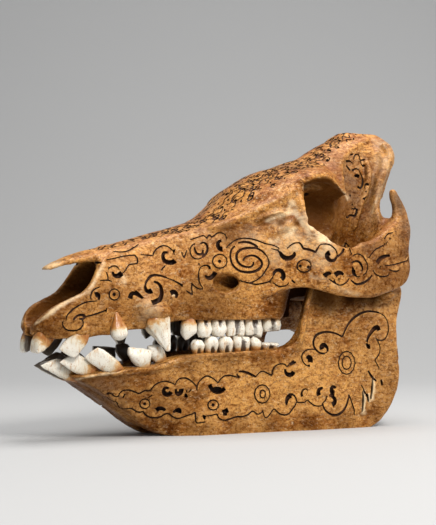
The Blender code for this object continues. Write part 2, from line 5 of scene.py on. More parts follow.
import bmesh
import bpy
import numpy as np
from mathutils import Matrix, Vector, noise
from mathutils.bvhtree import BVHTree
from mathutils.kdtree import KDTree


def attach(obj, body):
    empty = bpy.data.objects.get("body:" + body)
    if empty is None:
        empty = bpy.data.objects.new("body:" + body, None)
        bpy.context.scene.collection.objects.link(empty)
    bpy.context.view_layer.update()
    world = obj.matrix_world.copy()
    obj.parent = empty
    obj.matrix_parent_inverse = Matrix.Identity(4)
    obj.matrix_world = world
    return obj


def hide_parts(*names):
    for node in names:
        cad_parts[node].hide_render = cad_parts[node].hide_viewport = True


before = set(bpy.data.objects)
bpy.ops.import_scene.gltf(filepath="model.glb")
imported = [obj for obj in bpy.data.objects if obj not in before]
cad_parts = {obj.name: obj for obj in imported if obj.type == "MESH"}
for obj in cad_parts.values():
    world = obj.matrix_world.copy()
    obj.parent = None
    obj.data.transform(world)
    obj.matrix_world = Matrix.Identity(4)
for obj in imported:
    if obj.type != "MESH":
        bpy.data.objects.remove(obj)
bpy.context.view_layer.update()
scene = bpy.context.scene
mm = 0.001
drawing = {"middleX": 6.57, "base": 0.6}  # mm, where the frame's origin lies in the drawing


# camera: where the photographer stood, in mm of the drawing
camera = {
    "place": (-566.9, -762.3, 89.5),
    "turn": 37.0,  # degrees, from +Y towards +X
    "rise": 2.005,  # degrees, how far it looks up
    "focal": 1300.0,  # px
    "width": 436,
    "height": 525,
    "film": 36.0,
    "near": 0.01,  # m, where its view begins
}


def addObject(name, data):
    made = bpy.data.objects.new(name, data)
    scene.collection.objects.link(made)
    return made


def makeCamera(spec):
    data = bpy.data.cameras.new("camera")
    data.sensor_width = spec["film"]
    data.lens = spec["focal"] / max(spec["width"], spec["height"]) * spec["film"]
    data.clip_start = spec["near"]
    scene.camera = addObject("camera", data)
    scene.camera.rotation_euler = (math.radians(90 + spec["rise"]), 0, -math.radians(spec["turn"]))
    x, y, z = spec["place"]
    scene.camera.location = ((x - drawing["middleX"]) * mm, y * mm, (z - drawing["base"]) * mm)


def sightLine(spec, u, v):
    # direction in which the camera sees a pixel
    turned = Matrix.Rotation(-math.radians(spec["turn"]), 3, "Z") @ Matrix.Rotation(
        math.radians(90 + spec["rise"]), 3, "X")
    aim = Vector((u - spec["width"] / 2, spec["height"] / 2 - v, -spec["focal"]))
    return (turned @ aim).normalized()


makeCamera(camera)
print("camera set")


# shape tools
def between(rows, place):
    # a profile, drawn as rows of (place, value, ...), read smoothly at any place
    knots = np.array(rows, float)
    along = knots[:, 0]
    slopes = np.gradient(knots[:, 1:], along, axis=0)
    first = int(np.clip(np.searchsorted(along, place) - 1, 0, len(along) - 2))
    step = along[first + 1] - along[first]
    t = min(max((place - along[first]) / step, 0.0), 1.0)
    start = (2 * t**3 - 3 * t**2 + 1) * knots[first, 1:] + (t**3 - 2 * t**2 + t) * step * slopes[first]
    end = (3 * t**2 - 2 * t**3) * knots[first + 1, 1:] + (t**3 - t**2) * step * slopes[first + 1]
    return start + end


def curved(corners, steps, closed=True):
    # a smooth line through the corners, with a number of steps from each to the next
    corners = [np.array(corner, float) for corner in corners]
    count = len(corners)
    line = []
    for i in range(count if closed else count - 1):
        near = (i - 1, i, i + 1, i + 2)
        a, b, c, d = (corners[k % count if closed else min(max(k, 0), count - 1)] for k in near)
        for k in range(steps):
            t = k / steps
            line.append(0.5 * (2 * b + (c - a) * t + (2 * a - 5 * b + 4 * c - d) * t**2
                               + (3 * b - a - 3 * c + d) * t**3))
    if not closed:
        line.append(corners[-1])
    return line


def meshOfRings(name, rings):
    shape = bmesh.new()
    rows = [[shape.verts.new(Vector(point) * mm) for point in ring] for ring in rings]
    for low, high in zip(rows, rows[1:]):
        for i in range(len(low)):
            j = (i + 1) % len(low)
            shape.faces.new((low[i], low[j], high[j], high[i]))
    shape.faces.new(rows[0][::-1])
    shape.faces.new(rows[-1])
    bmesh.ops.recalc_face_normals(shape, faces=shape.faces)
    mesh = bpy.data.meshes.new(name)
    shape.to_mesh(mesh)
    shape.free()
    return mesh


def applied(made):
    # the object with its modifiers applied
    graph = bpy.context.evaluated_depsgraph_get()
    mesh = bpy.data.meshes.new_from_object(made.evaluated_get(graph))
    old = made.data
    made.modifiers.clear()
    made.data = mesh
    if old.users == 0:
        bpy.data.meshes.remove(old)
    return made


def remeshed(made, voxel):
    remesh = made.modifiers.new("Remesh", "REMESH")
    remesh.mode = "VOXEL"
    remesh.voxel_size = voxel * mm
    return applied(made)


def smoothed(made, turns):
    smooth = made.modifiers.new("Smooth", "SMOOTH")
    smooth.factor = 0.5
    smooth.iterations = turns
    return applied(made)


def thinned(made, triangles):
    made.data.calc_loop_triangles()
    fewer = made.modifiers.new("Fewer", "DECIMATE")
    fewer.ratio = min(1.0, triangles / len(made.data.loop_triangles))
    return applied(made)


def cutWith(made, cutter):
    cut = made.modifiers.new("Cut", "BOOLEAN")
    cut.operation = "DIFFERENCE"
    cut.solver = "MANIFOLD"
    cut.material_mode = "TRANSFER"
    cut.object = cutter
    return applied(made)


def joined(name, meshes):
    shape = bmesh.new()
    for mesh in meshes:
        shape.from_mesh(mesh)
        bpy.data.meshes.remove(mesh)
    mesh = bpy.data.meshes.new(name)
    shape.to_mesh(mesh)
    shape.free()
    return addObject(name, mesh)


def pointsOf(mesh):
    points = np.empty(len(mesh.vertices) * 3)
    mesh.vertices.foreach_get("co", points)
    return points.reshape(-1, 3) / mm


def normalsOf(mesh):
    normals = np.empty(len(mesh.vertices) * 3)
    mesh.vertices.foreach_get("normal", normals)
    return normals.reshape(-1, 3)


def noteOn(mesh, name, values):
    # writes a value on every point, under a name that the finishes read
    values = np.array(values, np.float32)
    mesh.attributes.new(name, "FLOAT", "POINT").data.foreach_set("value", values)


def moved(mesh, change):
    points = change(pointsOf(mesh))
    mesh.vertices.foreach_set("co", points.reshape(-1) * mm)
    mesh.update()
    return mesh


def mirrored(mesh):
    copy = mesh.copy()
    moved(copy, lambda points: points * (1, -1, 1))
    copy.flip_normals()
    return copy


def egg(centre, radii, tilt=0):
    # an ellipsoid, its X axis tilted up at the back by an angle in degrees
    shape = bmesh.new()
    bmesh.ops.create_uvsphere(shape, u_segments=24, v_segments=16, radius=mm)
    mesh = bpy.data.meshes.new("egg")
    shape.to_mesh(mesh)
    shape.free()
    rise = math.radians(tilt)
    turned = np.array(((math.cos(rise), 0, math.sin(rise)), (0, 1, 0), (-math.sin(rise), 0, math.cos(rise))))
    return moved(mesh, lambda points: (points * radii) @ turned + centre)


def rod(corners, sides=10, steps=4):
    # a round rod through corners of (x, y, z, radius)
    line = curved(corners, steps, closed=False)
    rings = []
    for i, point in enumerate(line):
        ahead = Vector(line[min(i + 1, len(line) - 1)][:3]) - Vector(line[max(i - 1, 0)][:3])
        turn = ahead.to_track_quat("Z", "Y")
        ring = []
        for k in range(sides):
            a = 2 * math.pi * k / sides
            ring.append(Vector(point[:3]) + turn @ Vector((math.cos(a), math.sin(a), 0)) * point[3])
        rings.append(ring)
    return meshOfRings("rod", rings)


# how a bone is made from its forms
making = {
    "plate": 5.0,  # mm, half the thickness of a flat plate before it is bent
    "plateVoxel": 2.0,  # mm
    "smoothing": 4,
    "waves": ((22, 0.5), (7, 0.22), (2.6, 0.1)),  # its small unevenness: size and height in mm
}


# cranium
cranium = {
    "voxel": 1.25,  # mm
    "triangles": 70000,  # before the carving
    # x, top of the midline, half-width and height of the roof's edge, half-width and height of the side,
    # half-width and height of the tooth edge, height of the palate
    "face": (
        (-150, 79, 8, 79, 11, 76, 8, 73, 73),
        (-147, 84, 13, 83, 15, 78, 12, 71, 71),
        (-141, 89, 17, 89, 18, 82, 16, 70, 71),
        (-129, 95, 19.5, 95, 20.5, 84, 18, 70, 72),
        (-117, 101, 20, 101, 21, 86, 19, 70, 74),
        (-111, 108, 20, 108, 21, 92, 20, 71, 75),
        (-104, 119, 18, 119, 21, 100, 21, 72, 75),
        (-98, 129, 15, 124, 21, 104, 21, 72, 76),
        (-84, 134, 15, 129, 22, 104, 23, 75, 77),
        (-66, 139, 17, 132, 24, 104, 26, 77, 79),
        (-50, 143, 19, 136, 25, 106, 27, 81, 83),
        (-25, 150, 23, 141, 28, 112, 29, 82, 85),
        (-6, 157, 26, 147, 31, 114, 31, 82, 85),
        (8, 168, 30, 155, 35, 116, 32, 82, 84),
        (20, 179, 33, 162, 39, 120, 32.5, 82, 85),
        (32, 185, 36, 169, 42, 126, 33, 83, 86),
        (44, 191, 39, 177, 43, 134, 32, 84, 87),
        (50, 193, 41, 181, 43, 139, 29, 93, 96),
        (56, 195, 38, 184, 40, 144, 24, 108, 110),
        (62, 194, 30, 182, 30, 150, 15, 122, 124),
        (66, 192, 22, 176, 18, 154, 8, 132, 134),
    ),
    # x, top, half-width and height of the upper edge, half-width and height of the wall, half-width
    # and height of the base, bottom of the midline
    "braincase": (
        (36, 180, 22, 174, 22, 140, 18, 96, 92),
        (58, 192, 24, 182, 20, 140, 17, 98, 94),
        (80, 200, 23, 188, 22, 150, 18, 100, 96),
        (100, 208, 26, 193, 27, 158, 20, 102, 98),
        (120, 216, 22, 204, 29, 160, 23, 104, 100),
        (134, 219, 20, 210, 29, 158, 24, 106, 102),
        (142, 216, 16, 202, 26, 155, 20, 112, 108),
    ),
    # x, middle of the roof, half-width and height of the brow's edge, thickness of the edge
    "brow": (
        (18, 178, 30, 163, 10), (32, 185, 36, 170, 9), (46, 192, 41, 177, 8), (56, 195, 43, 182, 7),
        (68, 198, 45, 186, 6.5), (80, 203, 47, 184, 6), (88, 206, 49.5, 174, 5), (93, 209, 48, 172, 5),
        (98, 212, 39, 185, 6), (106, 216, 29, 198, 6), (118, 221, 23, 209, 6), (132, 225, 21, 217, 6),
        (144, 228, 20, 222, 5),
    ),
    # z, front and back of the plate behind the skull, half-width at the back, how far its middle is set in
    "occiput": (
        (106, 118, 128, 20, 0), (120, 116, 133, 32, 1), (140, 116, 136, 42, 2), (156, 118, 138, 42, 3),
        (166, 120, 139, 36, 4), (180, 122, 144, 33, 5), (192, 124, 151, 32, 6), (204, 124, 160, 31, 7),
        (214, 122, 163, 27, 7), (222, 122, 164, 19, 4), (228, 130, 160, 10, 0),
    ),
    # outline of the cheek arch from the side: x, z
    "archOutline": (
        (6, 112), (16, 122), (28, 133), (40, 147), (46, 158), (50, 160), (53, 149), (59, 141), (66, 137),
        (80, 141), (94, 138), (108, 140), (120, 147), (128, 152), (133.5, 155.5), (136.5, 161), (137, 167),
        (135.5, 171.5), (135, 177), (138, 180.5), (141.5, 178.5), (144.5, 174), (149, 168.5),
        (151.8, 161.5), (151.3, 153), (150.3, 143), (148.3, 132), (149.8, 124), (149.8, 119),
        (146.5, 111.5), (139, 105.5), (122, 101), (108, 98), (92, 98), (77, 100), (68, 103), (58, 107),
        (46, 108), (36, 104), (24, 98), (10, 100),
    ),
    # x, place in y of the middle of the arch's plate, its thickness
    "archPlan": (
        (0, 24, 8), (20, 33, 11), (36, 39.5, 11), (50, 46, 10), (66, 53, 8), (90, 57, 8), (110, 57, 9),
        (128, 55, 11), (152, 52, 10),
    ),
    # x and top of the nose bones' tongue; it runs as far back as noseEnd
    "noseTop": ((-138, 117), (-124, 123.5), (-108, 128.5), (-92, 132), (-76, 136)),
    "noseEnd": -80,
    # x, half-width, floor, top edge and top of the nasal cavity
    "nasalCavity": (
        (-160, 6, 78, 118, 120), (-152, 8, 78, 114, 116), (-141, 13, 80, 111, 113), (-128, 16, 83, 114, 116),
        (-112, 16.5, 85, 117, 120), (-102, 15.5, 87, 117, 122), (-94, 13, 89, 118, 125),
        (-80, 12, 91, 121, 128), (-64, 10, 94, 122, 128), (-48, 6, 100, 120, 124),
    ),
    # z, front and back, inner and outer side of the shelf behind the temple
    "earShelf": (
        (109, 112, 141, 18, 56), (114, 112, 143, 18, 57), (126, 116, 143, 18, 58), (138, 121, 142, 18, 57),
        (148, 127, 141, 20, 55), (155, 132, 140, 22, 52), (159, 135, 139, 26, 48),
    ),
    # ridges that stand on the bone: x, y, z, radius
    "ridges": (
        ((50, 42, 171, 2.5), (51, 44.5, 163, 3.2), (53, 46, 156, 3.6), (58, 48.5, 149, 3.8),
         (63, 51, 143, 3.6), (68, 53.5, 138, 3)),  # rim of the eye socket
        ((16, 33, 152, 1.5), (24, 38.5, 154, 2.8), (31, 41, 156, 3.2), (37, 42.5, 158, 1.6)),
        ((24, 37, 141, 1.8), (31, 40.5, 145, 3.2), (38, 43, 149, 3.4), (44, 44.5, 155, 2)),
        ((-18, 23.5, 146, 2), (-4, 27, 150, 3), (12, 31, 157, 3.2), (26, 35, 164, 3),
         (38, 38.5, 170, 2.6), (50, 41.5, 178, 2)),  # edge of the forehead
        ((152, 24, 219, 3), (155, 28, 210, 3.4), (149, 30, 200, 3.6), (143, 31.5, 190, 3.4),
         (138, 33, 179, 3.2), (134, 35, 168, 3.4), (132, 39, 157, 3.6), (131, 43, 145, 3.2)),  # crest
        ((134, 22, 208, 1), (133, 28.5, 196, 2.2), (128, 30.5, 180, 2.4), (121, 31, 166, 2),
         (116, 31, 150, 1.2)),  # flute in the temple
        ((96, 25, 196, 0.8), (101, 28, 184, 2), (100, 28, 168, 2.2), (97, 26.5, 150, 1.2)),
        ((35, 40, 103, 2), (45, 44, 107, 3), (56, 49, 106.5, 3.2), (66, 53.5, 103.5, 3),
         (78, 56, 100.5, 2.6), (92, 57.5, 99, 2.4), (108, 57.5, 99.5, 2.6), (122, 56.5, 103, 2.6),
         (135, 54.5, 106.6, 2.6), (142.5, 53, 111.5, 2.8)),  # lower edge of the arch
        ((145.5, 52.5, 115.5, 2.6), (147.5, 52, 121, 3), (148, 52, 127, 2.6)),
        ((138.5, 49.5, 169.5, 2.2), (137.5, 49.5, 175, 2.6), (138.3, 49.5, 178.6, 3)),  # knob of the spike
        ((158, 20, 216, 1.2), (160, 25, 207, 2), (154.5, 28, 197, 2), (148, 30, 186, 1.8),
         (142, 32, 174, 1.2)),
        ((146, 25, 214, 1), (147, 29, 203, 1.8), (141, 31, 192, 1.8), (136, 33, 180, 1.4), (131, 36, 168, 1)),
        ((98, 27, 172, 1.4), (92.5, 27, 160, 2.6), (90, 27, 145, 2.8), (89, 27, 128, 2)),  # cup of the eye
        ((108, 28, 176, 1), (105, 28.5, 162, 1.8), (102, 27, 146, 1.8), (100, 25, 128, 1.4)),
    ),
    # two bulbs under the ear, and two processes that hang under the skull
    "underEar": (
        ("egg", (114, 19, 98), (10, 7, 11)),
        ("egg", (137, 10, 112), (9, 7, 8)),
        ("slab", ((123, 22), (126, 28), (132, 28), (134, 22), (128, 19)), 82, 116),
        ("slab", ((44, 9), (48, 14), (60, 15), (66, 12), (58, 10)), 82, 104),
    ),
    # bosses round the roots of the teeth, and the bone behind the eye
    "bosses": (
        ("egg", (-70, 21.5, 89), (11, 8.5, 10)),
        ("egg", (-63.5, 25, 86.5), (11, 8.5, 7)),
        ("egg", (-141, 8.5, 77), (7, 7, 7)),
        ("egg", (-118, 15, 75), (8, 7, 6)),
        ("egg", (75, 16, 158), (31, 21, 34)),
    ),
    "base": (("egg", (92, 0, 104), (44, 15, 9)),),
    # hollows on both sides: the eye socket, the hole over the cheek teeth, the grooves in front of the eye,
    # the vault of the palate, a crack at the root of the spike, and a pit in the eye socket's rim
    "sideHollows": (
        ("egg", (75.5, 51, 161), (24, 34, 21)),
        ("egg", (83, 50, 150), (20, 23, 18)),
        ("egg", (-8, 31, 107.5), (11, 9, 6.6)),
        ("egg", (4, 24, 108), (14, 5, 5)),
        ("egg", (14, 47, 148), (26, 14, 4.5), 24),
        ("rod", ((-14, 32, 140, 1.2), (-2, 35.5, 145, 2.2), (11, 39, 150.5, 2.6), (23, 42, 156.5, 2.2),
                 (30, 44, 160, 1.2))),
        ("rod", ((22, 40, 149, 0.8), (29, 43.5, 151, 2), (36, 45, 153.5, 1.2)), 8),
        ("rod", ((43, 45, 156, 0.7), (44.5, 46.5, 151, 1.8), (47.5, 48.5, 146, 1)), 8),
        ("egg", (-30, 13, 78), (80, 10, 9)),
        ("egg", (142, 60, 129), (7, 5, 1.2), -8),
        ("egg", (53, 51, 150.5), (1.2, 4, 2.4)),
    ),
    # hollows in the middle: behind the palate, for the spine, behind the crest, and between the incisors
    "middleHollows": (
        ("egg", (52, 0, 98), (18, 9, 8)),
        ("egg", (146, 0, 124), (16, 9, 9)),
        ("egg", (170, 0, 172), (18, 22, 34)),
        ("egg", (-152, 0, 76), (9, 1.8, 12)),
    ),
}


def skullRing(x, half):
    # a ring across the skull at x, from its left half in y and z, top to bottom
    other = [(-y, z) for y, z in half[-2:0:-1]]
    return [(x, y, z) for y, z in curved(list(half) + other, 4)]


def bodyRing(x, top, edgeY, edgeZ, sideY, sideZ, baseY, baseZ, floor):
    return skullRing(x, ((0, top), (edgeY * 0.6, (top * 2 + edgeZ) / 3), (edgeY, edgeZ), (sideY, sideZ),
                         (baseY, baseZ + 3), (baseY - 3, baseZ - 1), (0, floor)))


def browRing(x, top, edgeY, edgeZ, thick):
    return skullRing(x, ((0, top), (edgeY * 0.55, top * 0.62 + edgeZ * 0.38 + 2),
                         (edgeY - 3, edgeZ + thick * 0.7), (edgeY, edgeZ), (edgeY - 4, edgeZ - thick * 0.3),
                         (edgeY * 0.5, edgeZ - 4), (0, edgeZ - 4)))


def occiputRing(z, front, back, wide, hollow):
    half = ((front, 0), (front + 2, wide * 0.6), (back - 9, wide * 0.92), (back - 2.5, wide),
            (back, wide * 0.86), (back - hollow * 0.8, wide * 0.4), (back - hollow, 0))
    other = [(x, -y) for x, y in half[-2:0:-1]]
    return [(x, y, z) for x, y in curved(list(half) + other, 4)]


def noseRing(x, top):
    # the tongue of the nose bones over the nostrils, hollow on its underside
    start, end = cranium["noseTop"][0][0], cranium["noseEnd"]
    reach = (x - start) / (end - start)
    wide = 4.5 + 10.5 * math.sqrt(reach)
    thick = 2.2 + 3.2 * reach
    drop = 1 + 6 * reach
    return skullRing(x, ((0, top), (wide * 0.6, top - drop * 0.35), (wide, top - drop),
                         (wide - 1, top - drop - thick), (wide * 0.5, top - drop * 0.5 - thick),
                         (0, top - thick * 1.1)))


def cavityRing(x, wide, floor, edge, top):
    return skullRing(x, ((0, top), (wide * 0.8, edge), (wide, (floor + edge) / 2),
                         (wide * 0.8, floor + 3), (0, floor)))


def shelfRing(z, front, back, near, far):
    middle = (near + far) / 2
    corners = ((front, near), (front + 1, middle), (front + 3, far), (back, far - 2), (back + 1, middle),
               (back, near))
    return [(x, y, z) for x, y in curved(corners, 3)]


def chinRing(x, low, high, wide):
    return skullRing(x, ((0, high), (wide * 0.7, high + 1), (wide, (low + high) / 2 + 2),
                         (wide * 0.6, low + 2), (0, low)))


def lofted(rows, ring, step=2.5, end=None):
    # a solid through rings that follow the rows, one each step in mm, from the first row to the last or to
    # a given end
    places = np.arange(rows[0][0], rows[-1][0] + 1 if end is None else end, step)
    return meshOfRings("loft", [ring(place, *between(rows, place)) for place in places])


def slab(corners, low, high):
    outline = curved(corners, 3)
    return meshOfRings("slab", [[(x, y, z) for x, y in outline] for z in np.linspace(low, high, 8)])


def formed(rows):
    forms = {"egg": egg, "rod": rod, "slab": slab}
    return [forms[kind](*sizes) for kind, *sizes in rows]


def plate(outline, plan, bend):
    # a flat plate with a side outline, bent and thickened along the skull
    curve = bpy.data.curves.new("outline", "CURVE")
    curve.dimensions = "2D"
    curve.fill_mode = "BOTH"
    curve.extrude = making["plate"] * mm
    line = curved(outline, 3)
    spline = curve.splines.new("POLY")
    spline.points.add(len(line) - 1)
    for point, (x, z) in zip(spline.points, line):
        point.co = (x * mm, z * mm, 0, 1)
    spline.use_cyclic_u = True
    flat = addObject("plate", curve)
    graph = bpy.context.evaluated_depsgraph_get()
    mesh = bpy.data.meshes.new_from_object(flat.evaluated_get(graph))
    bpy.data.objects.remove(flat)
    bpy.data.curves.remove(curve)
    shape = bmesh.new()
    shape.from_mesh(mesh)
    bmesh.ops.remove_doubles(shape, verts=shape.verts, dist=1e-6)
    bmesh.ops.recalc_face_normals(shape, faces=shape.faces)
    shape.to_mesh(mesh)
    shape.free()
    moved(mesh, lambda points: points[:, [0, 2, 1]] * (1, -1, 1))
    solid = remeshed(addObject("plate", mesh), making["plateVoxel"])
    mesh = moved(solid.data, lambda points: bend(points, plan))
    bpy.data.objects.remove(solid)
    return mesh


def ease(values, start, end):
    return np.clip((values - start) / (end - start), 0, 1)


def bendArch(points, plan):
    x, _, z = points.T
    place = np.array([between(plan, along) for along in x])
    lean = ease(z, 150, 180) * 4
    rise = ease(z, 138, 158) * ease(x, 60, 40)
    spike = ease(z, 150, 166) * ease(x, 110, 120)
    thin = (1 - 0.35 * rise) * (1 - 0.5 * spike)
    points[:, 1] = (points[:, 1] / making["plate"] * place[:, 1] / 2 * thin + place[:, 0] - lean
                    - 2 * rise - spike)
    return points


def bendJaw(points, plan):
    x, _, z = points.T
    place = np.array([between(plan, along) for along in x])
    up = ease(z, 0, 58)
    ramus = ease(x, 40, 65)
    keel = ease(z, 36, 0) * ease(x, -28, -62)
    thick = place[:, 2] * (1 - up) + place[:, 1] * up
    thick = thick * (1 - 0.25 * np.sin(up * math.pi) * (1 - ramus)) * (1 - 0.3 * keel)
    splay = (z - 30) * 0.06 * ramus
    points[:, 1] = points[:, 1] / making["plate"] * thick / 2 + place[:, 0] * (1 - 0.6 * keel) - splay
    return points


def bothSides(meshes):
    return meshes + [mirrored(mesh) for mesh in meshes]


def craniumSolids(spec):
    side = [plate(spec["archOutline"], spec["archPlan"], bendArch), lofted(spec["earShelf"], shelfRing)]
    side += formed(spec["underEar"]) + [rod(ridge) for ridge in spec["ridges"]] + formed(spec["bosses"])
    middle = [
        lofted(spec["face"], bodyRing),
        lofted(spec["braincase"], bodyRing),
        lofted(spec["brow"], browRing),
        lofted(spec["occiput"], occiputRing),
        lofted(spec["noseTop"], noseRing, step=3.0, end=spec["noseEnd"]),
    ]
    return middle + formed(spec["base"]) + bothSides(side)


def craniumHollows(spec):
    middle = [lofted(spec["nasalCavity"], cavityRing, step=3.0)] + formed(spec["middleHollows"])
    return middle + bothSides(formed(spec["sideHollows"]))


def roughened(made):
    normals = normalsOf(made.data)
    points = pointsOf(made.data)
    lift = np.zeros(len(points))
    for size, height in making["waves"]:
        lift += [noise.noise(Vector(point) / size) * height for point in points]
    moved(made.data, lambda old: old + normals * lift[:, None])


def boneOf(name, spec, solids, hollows):
    bone = remeshed(joined(name, solids), spec["voxel"])
    if hollows:
        space = remeshed(joined("space", hollows), spec["voxel"])
        cutWith(bone, space)
        bpy.data.objects.remove(space)
        remeshed(bone, spec["voxel"])
    smoothed(bone, making["smoothing"])
    roughened(bone)
    return thinned(bone, spec["triangles"])


skull = boneOf("boneCranium", cranium, craniumSolids(cranium), craniumHollows(cranium))
print("cranium shaped:", len(skull.data.polygons), "faces")


# lower jaw
jaw = {
    "voxel": 1.15,  # mm
    "triangles": 50000,  # before the carving
    # outline of the jaw's half from the side: x, z
    "outline": (
        (-123, 44), (-115, 47), (-98, 48), (-84, 50), (-67, 50), (-55, 54), (-38, 57), (-5, 58), (22, 59),
        (37, 61), (47, 65), (54, 74), (58, 86), (62, 98), (67, 112), (72, 124), (79, 130), (86, 122),
        (92, 108), (102, 101), (114, 100), (122, 101.5), (131, 104), (140, 107.5), (147.5, 107.5),
        (150.3, 103), (148.6, 94), (144, 82), (142.5, 64), (143, 50), (142.5, 35), (139, 25), (133, 16),
        (127, 9), (119, 3), (105, -1), (60, -1.5), (10, -1.5), (-34, -1.2), (-54, 2), (-68.5, 9.5),
        (-84, 21), (-99.5, 31), (-112.5, 38.5),
    ),
    # x, place in y of the middle of the jaw's half, thickness at the teeth and at the base
    "plan": (
        (-128, 6, 9, 8), (-118, 8.5, 12, 10), (-109, 11, 14.5, 12), (-90, 15, 16, 14), (-70, 17, 16, 14),
        (-50, 20, 15, 13), (-20, 24.5, 15, 12), (10, 29, 15, 12), (40, 35, 13, 11), (60, 39.5, 9, 9),
        (90, 44, 7, 7.5), (120, 47, 8, 8), (142, 47.3, 8, 9),
    ),
    # x, bottom, top and half-width of the chin
    "chin": (
        (-126, 43.5, 45, 8), (-120, 41, 45, 11.5), (-111, 36.5, 44, 13.5), (-100, 30, 42, 15),
        (-88, 22, 39, 15), (-76, 13.5, 36, 14.5), (-66, 8, 33, 13.5), (-56, 6, 28, 12),
    ),
    # window through the right side: x, z, and the y between which it is cut
    "window": ((83.5, 56), (84.5, 70.5), (100, 72), (117, 71.5), (128.5, 65), (120, 57.5), (102, 53)),
    "windowDepth": (30, 62),
    "footing": ((-150, -80), (150, -80), (150, 80), (-150, 80)),  # x, y of the ground it is cut flat on
    "condyle": (("egg", (130, 45, 99), (8, 12, 5)),),  # the cross-piece on which it hinges
    "ridges": (
        ((50, 42, 62, 1.2), (53, 42, 74, 2.4), (57, 41.5, 88, 2.6), (62, 41, 102, 2.2), (68, 40.5, 114, 1.5)),
        ((141.5, 46.5, 82, 2), (139.5, 48, 64, 2.8), (140.5, 48, 50, 3.2), (139.5, 48.5, 36, 3.4),
         (135.5, 49, 24, 3.2), (128.5, 49, 13, 2.8), (119, 48.5, 6, 2.4)),
        ((-124, 12, 43.5, 0.7), (-112.7, 17.5, 44.2, 1.3), (-102.3, 19.6, 45.8, 1.3), (-91.8, 21, 47, 0.8)),
        ((-98, 20.5, 45, 1.8), (-80, 23, 47, 2.6), (-62, 25, 49, 2.6), (-46, 26.5, 53, 2.4),
         (-28, 29, 55, 2), (-8, 32, 56, 2.2), (12, 35, 57, 2), (30, 38.5, 58, 1.4)),
    ),
}


def cutAway(made, rings):
    cutter = addObject("cutter", meshOfRings("cutter", rings))
    cutWith(made, cutter)
    bpy.data.objects.remove(cutter)


side = [plate(jaw["outline"], jaw["plan"], bendJaw)] + formed(jaw["condyle"])
side += [rod(ridge) for ridge in jaw["ridges"]]
mandible = boneOf("boneMandible", jaw, [lofted(jaw["chin"], chinRing, step=3.0)] + bothSides(side), [])
window = curved(jaw["window"], 4)
cutAway(mandible, [[(x, y, z) for x, z in window] for y in jaw["windowDepth"]])
cutAway(mandible, [[(x, y, z) for x, y in jaw["footing"]] for z in (-10, drawing["base"])])
print("lower jaw shaped:", len(mandible.data.polygons), "faces")


# teeth: outlines as shares of the crown's length, width and depth; below 0 is the root
toothShapes = {
    "peg": ((-0.75, 0.5, 0.5), (0, 0.82, 0.8), (0.45, 1, 1), (0.8, 0.9, 0.8), (1, 0.5, 0.4)),
    "cone": ((-1.05, 0.16, 0.2), (-0.5, 0.55, 0.55), (0, 0.95, 0.9), (0.5, 1, 1), (0.85, 0.84, 0.8),
             (1, 0.5, 0.4)),
    "chisel": ((-0.6, 0.6, 0.6), (0, 0.9, 1), (0.45, 1, 0.9), (0.8, 1, 0.55), (1, 0.9, 0.22)),
    "spike": ((-0.5, 0.5, 0.5), (-0.1, 0.9, 0.9), (0.06, 1, 1), (0.45, 0.7, 0.7), (0.8, 0.36, 0.36),
              (1, 0.16, 0.18)),
    "wedge": ((-0.6, 0.36, 0.5), (0, 0.55, 0.75), (0.5, 0.85, 1), (0.85, 1, 0.75), (1, 0.82, 0.35)),
    "molar": ((-0.6, 0.6, 0.6), (0, 0.84, 0.8), (0.3, 0.92, 0.9), (0.7, 1, 1), (1, 0.9, 0.76)),
    "premolar": ((-0.6, 0.6, 0.6), (0, 0.8, 0.78), (0.3, 0.94, 0.9), (0.7, 1, 1), (1, 0.72, 0.66)),
}
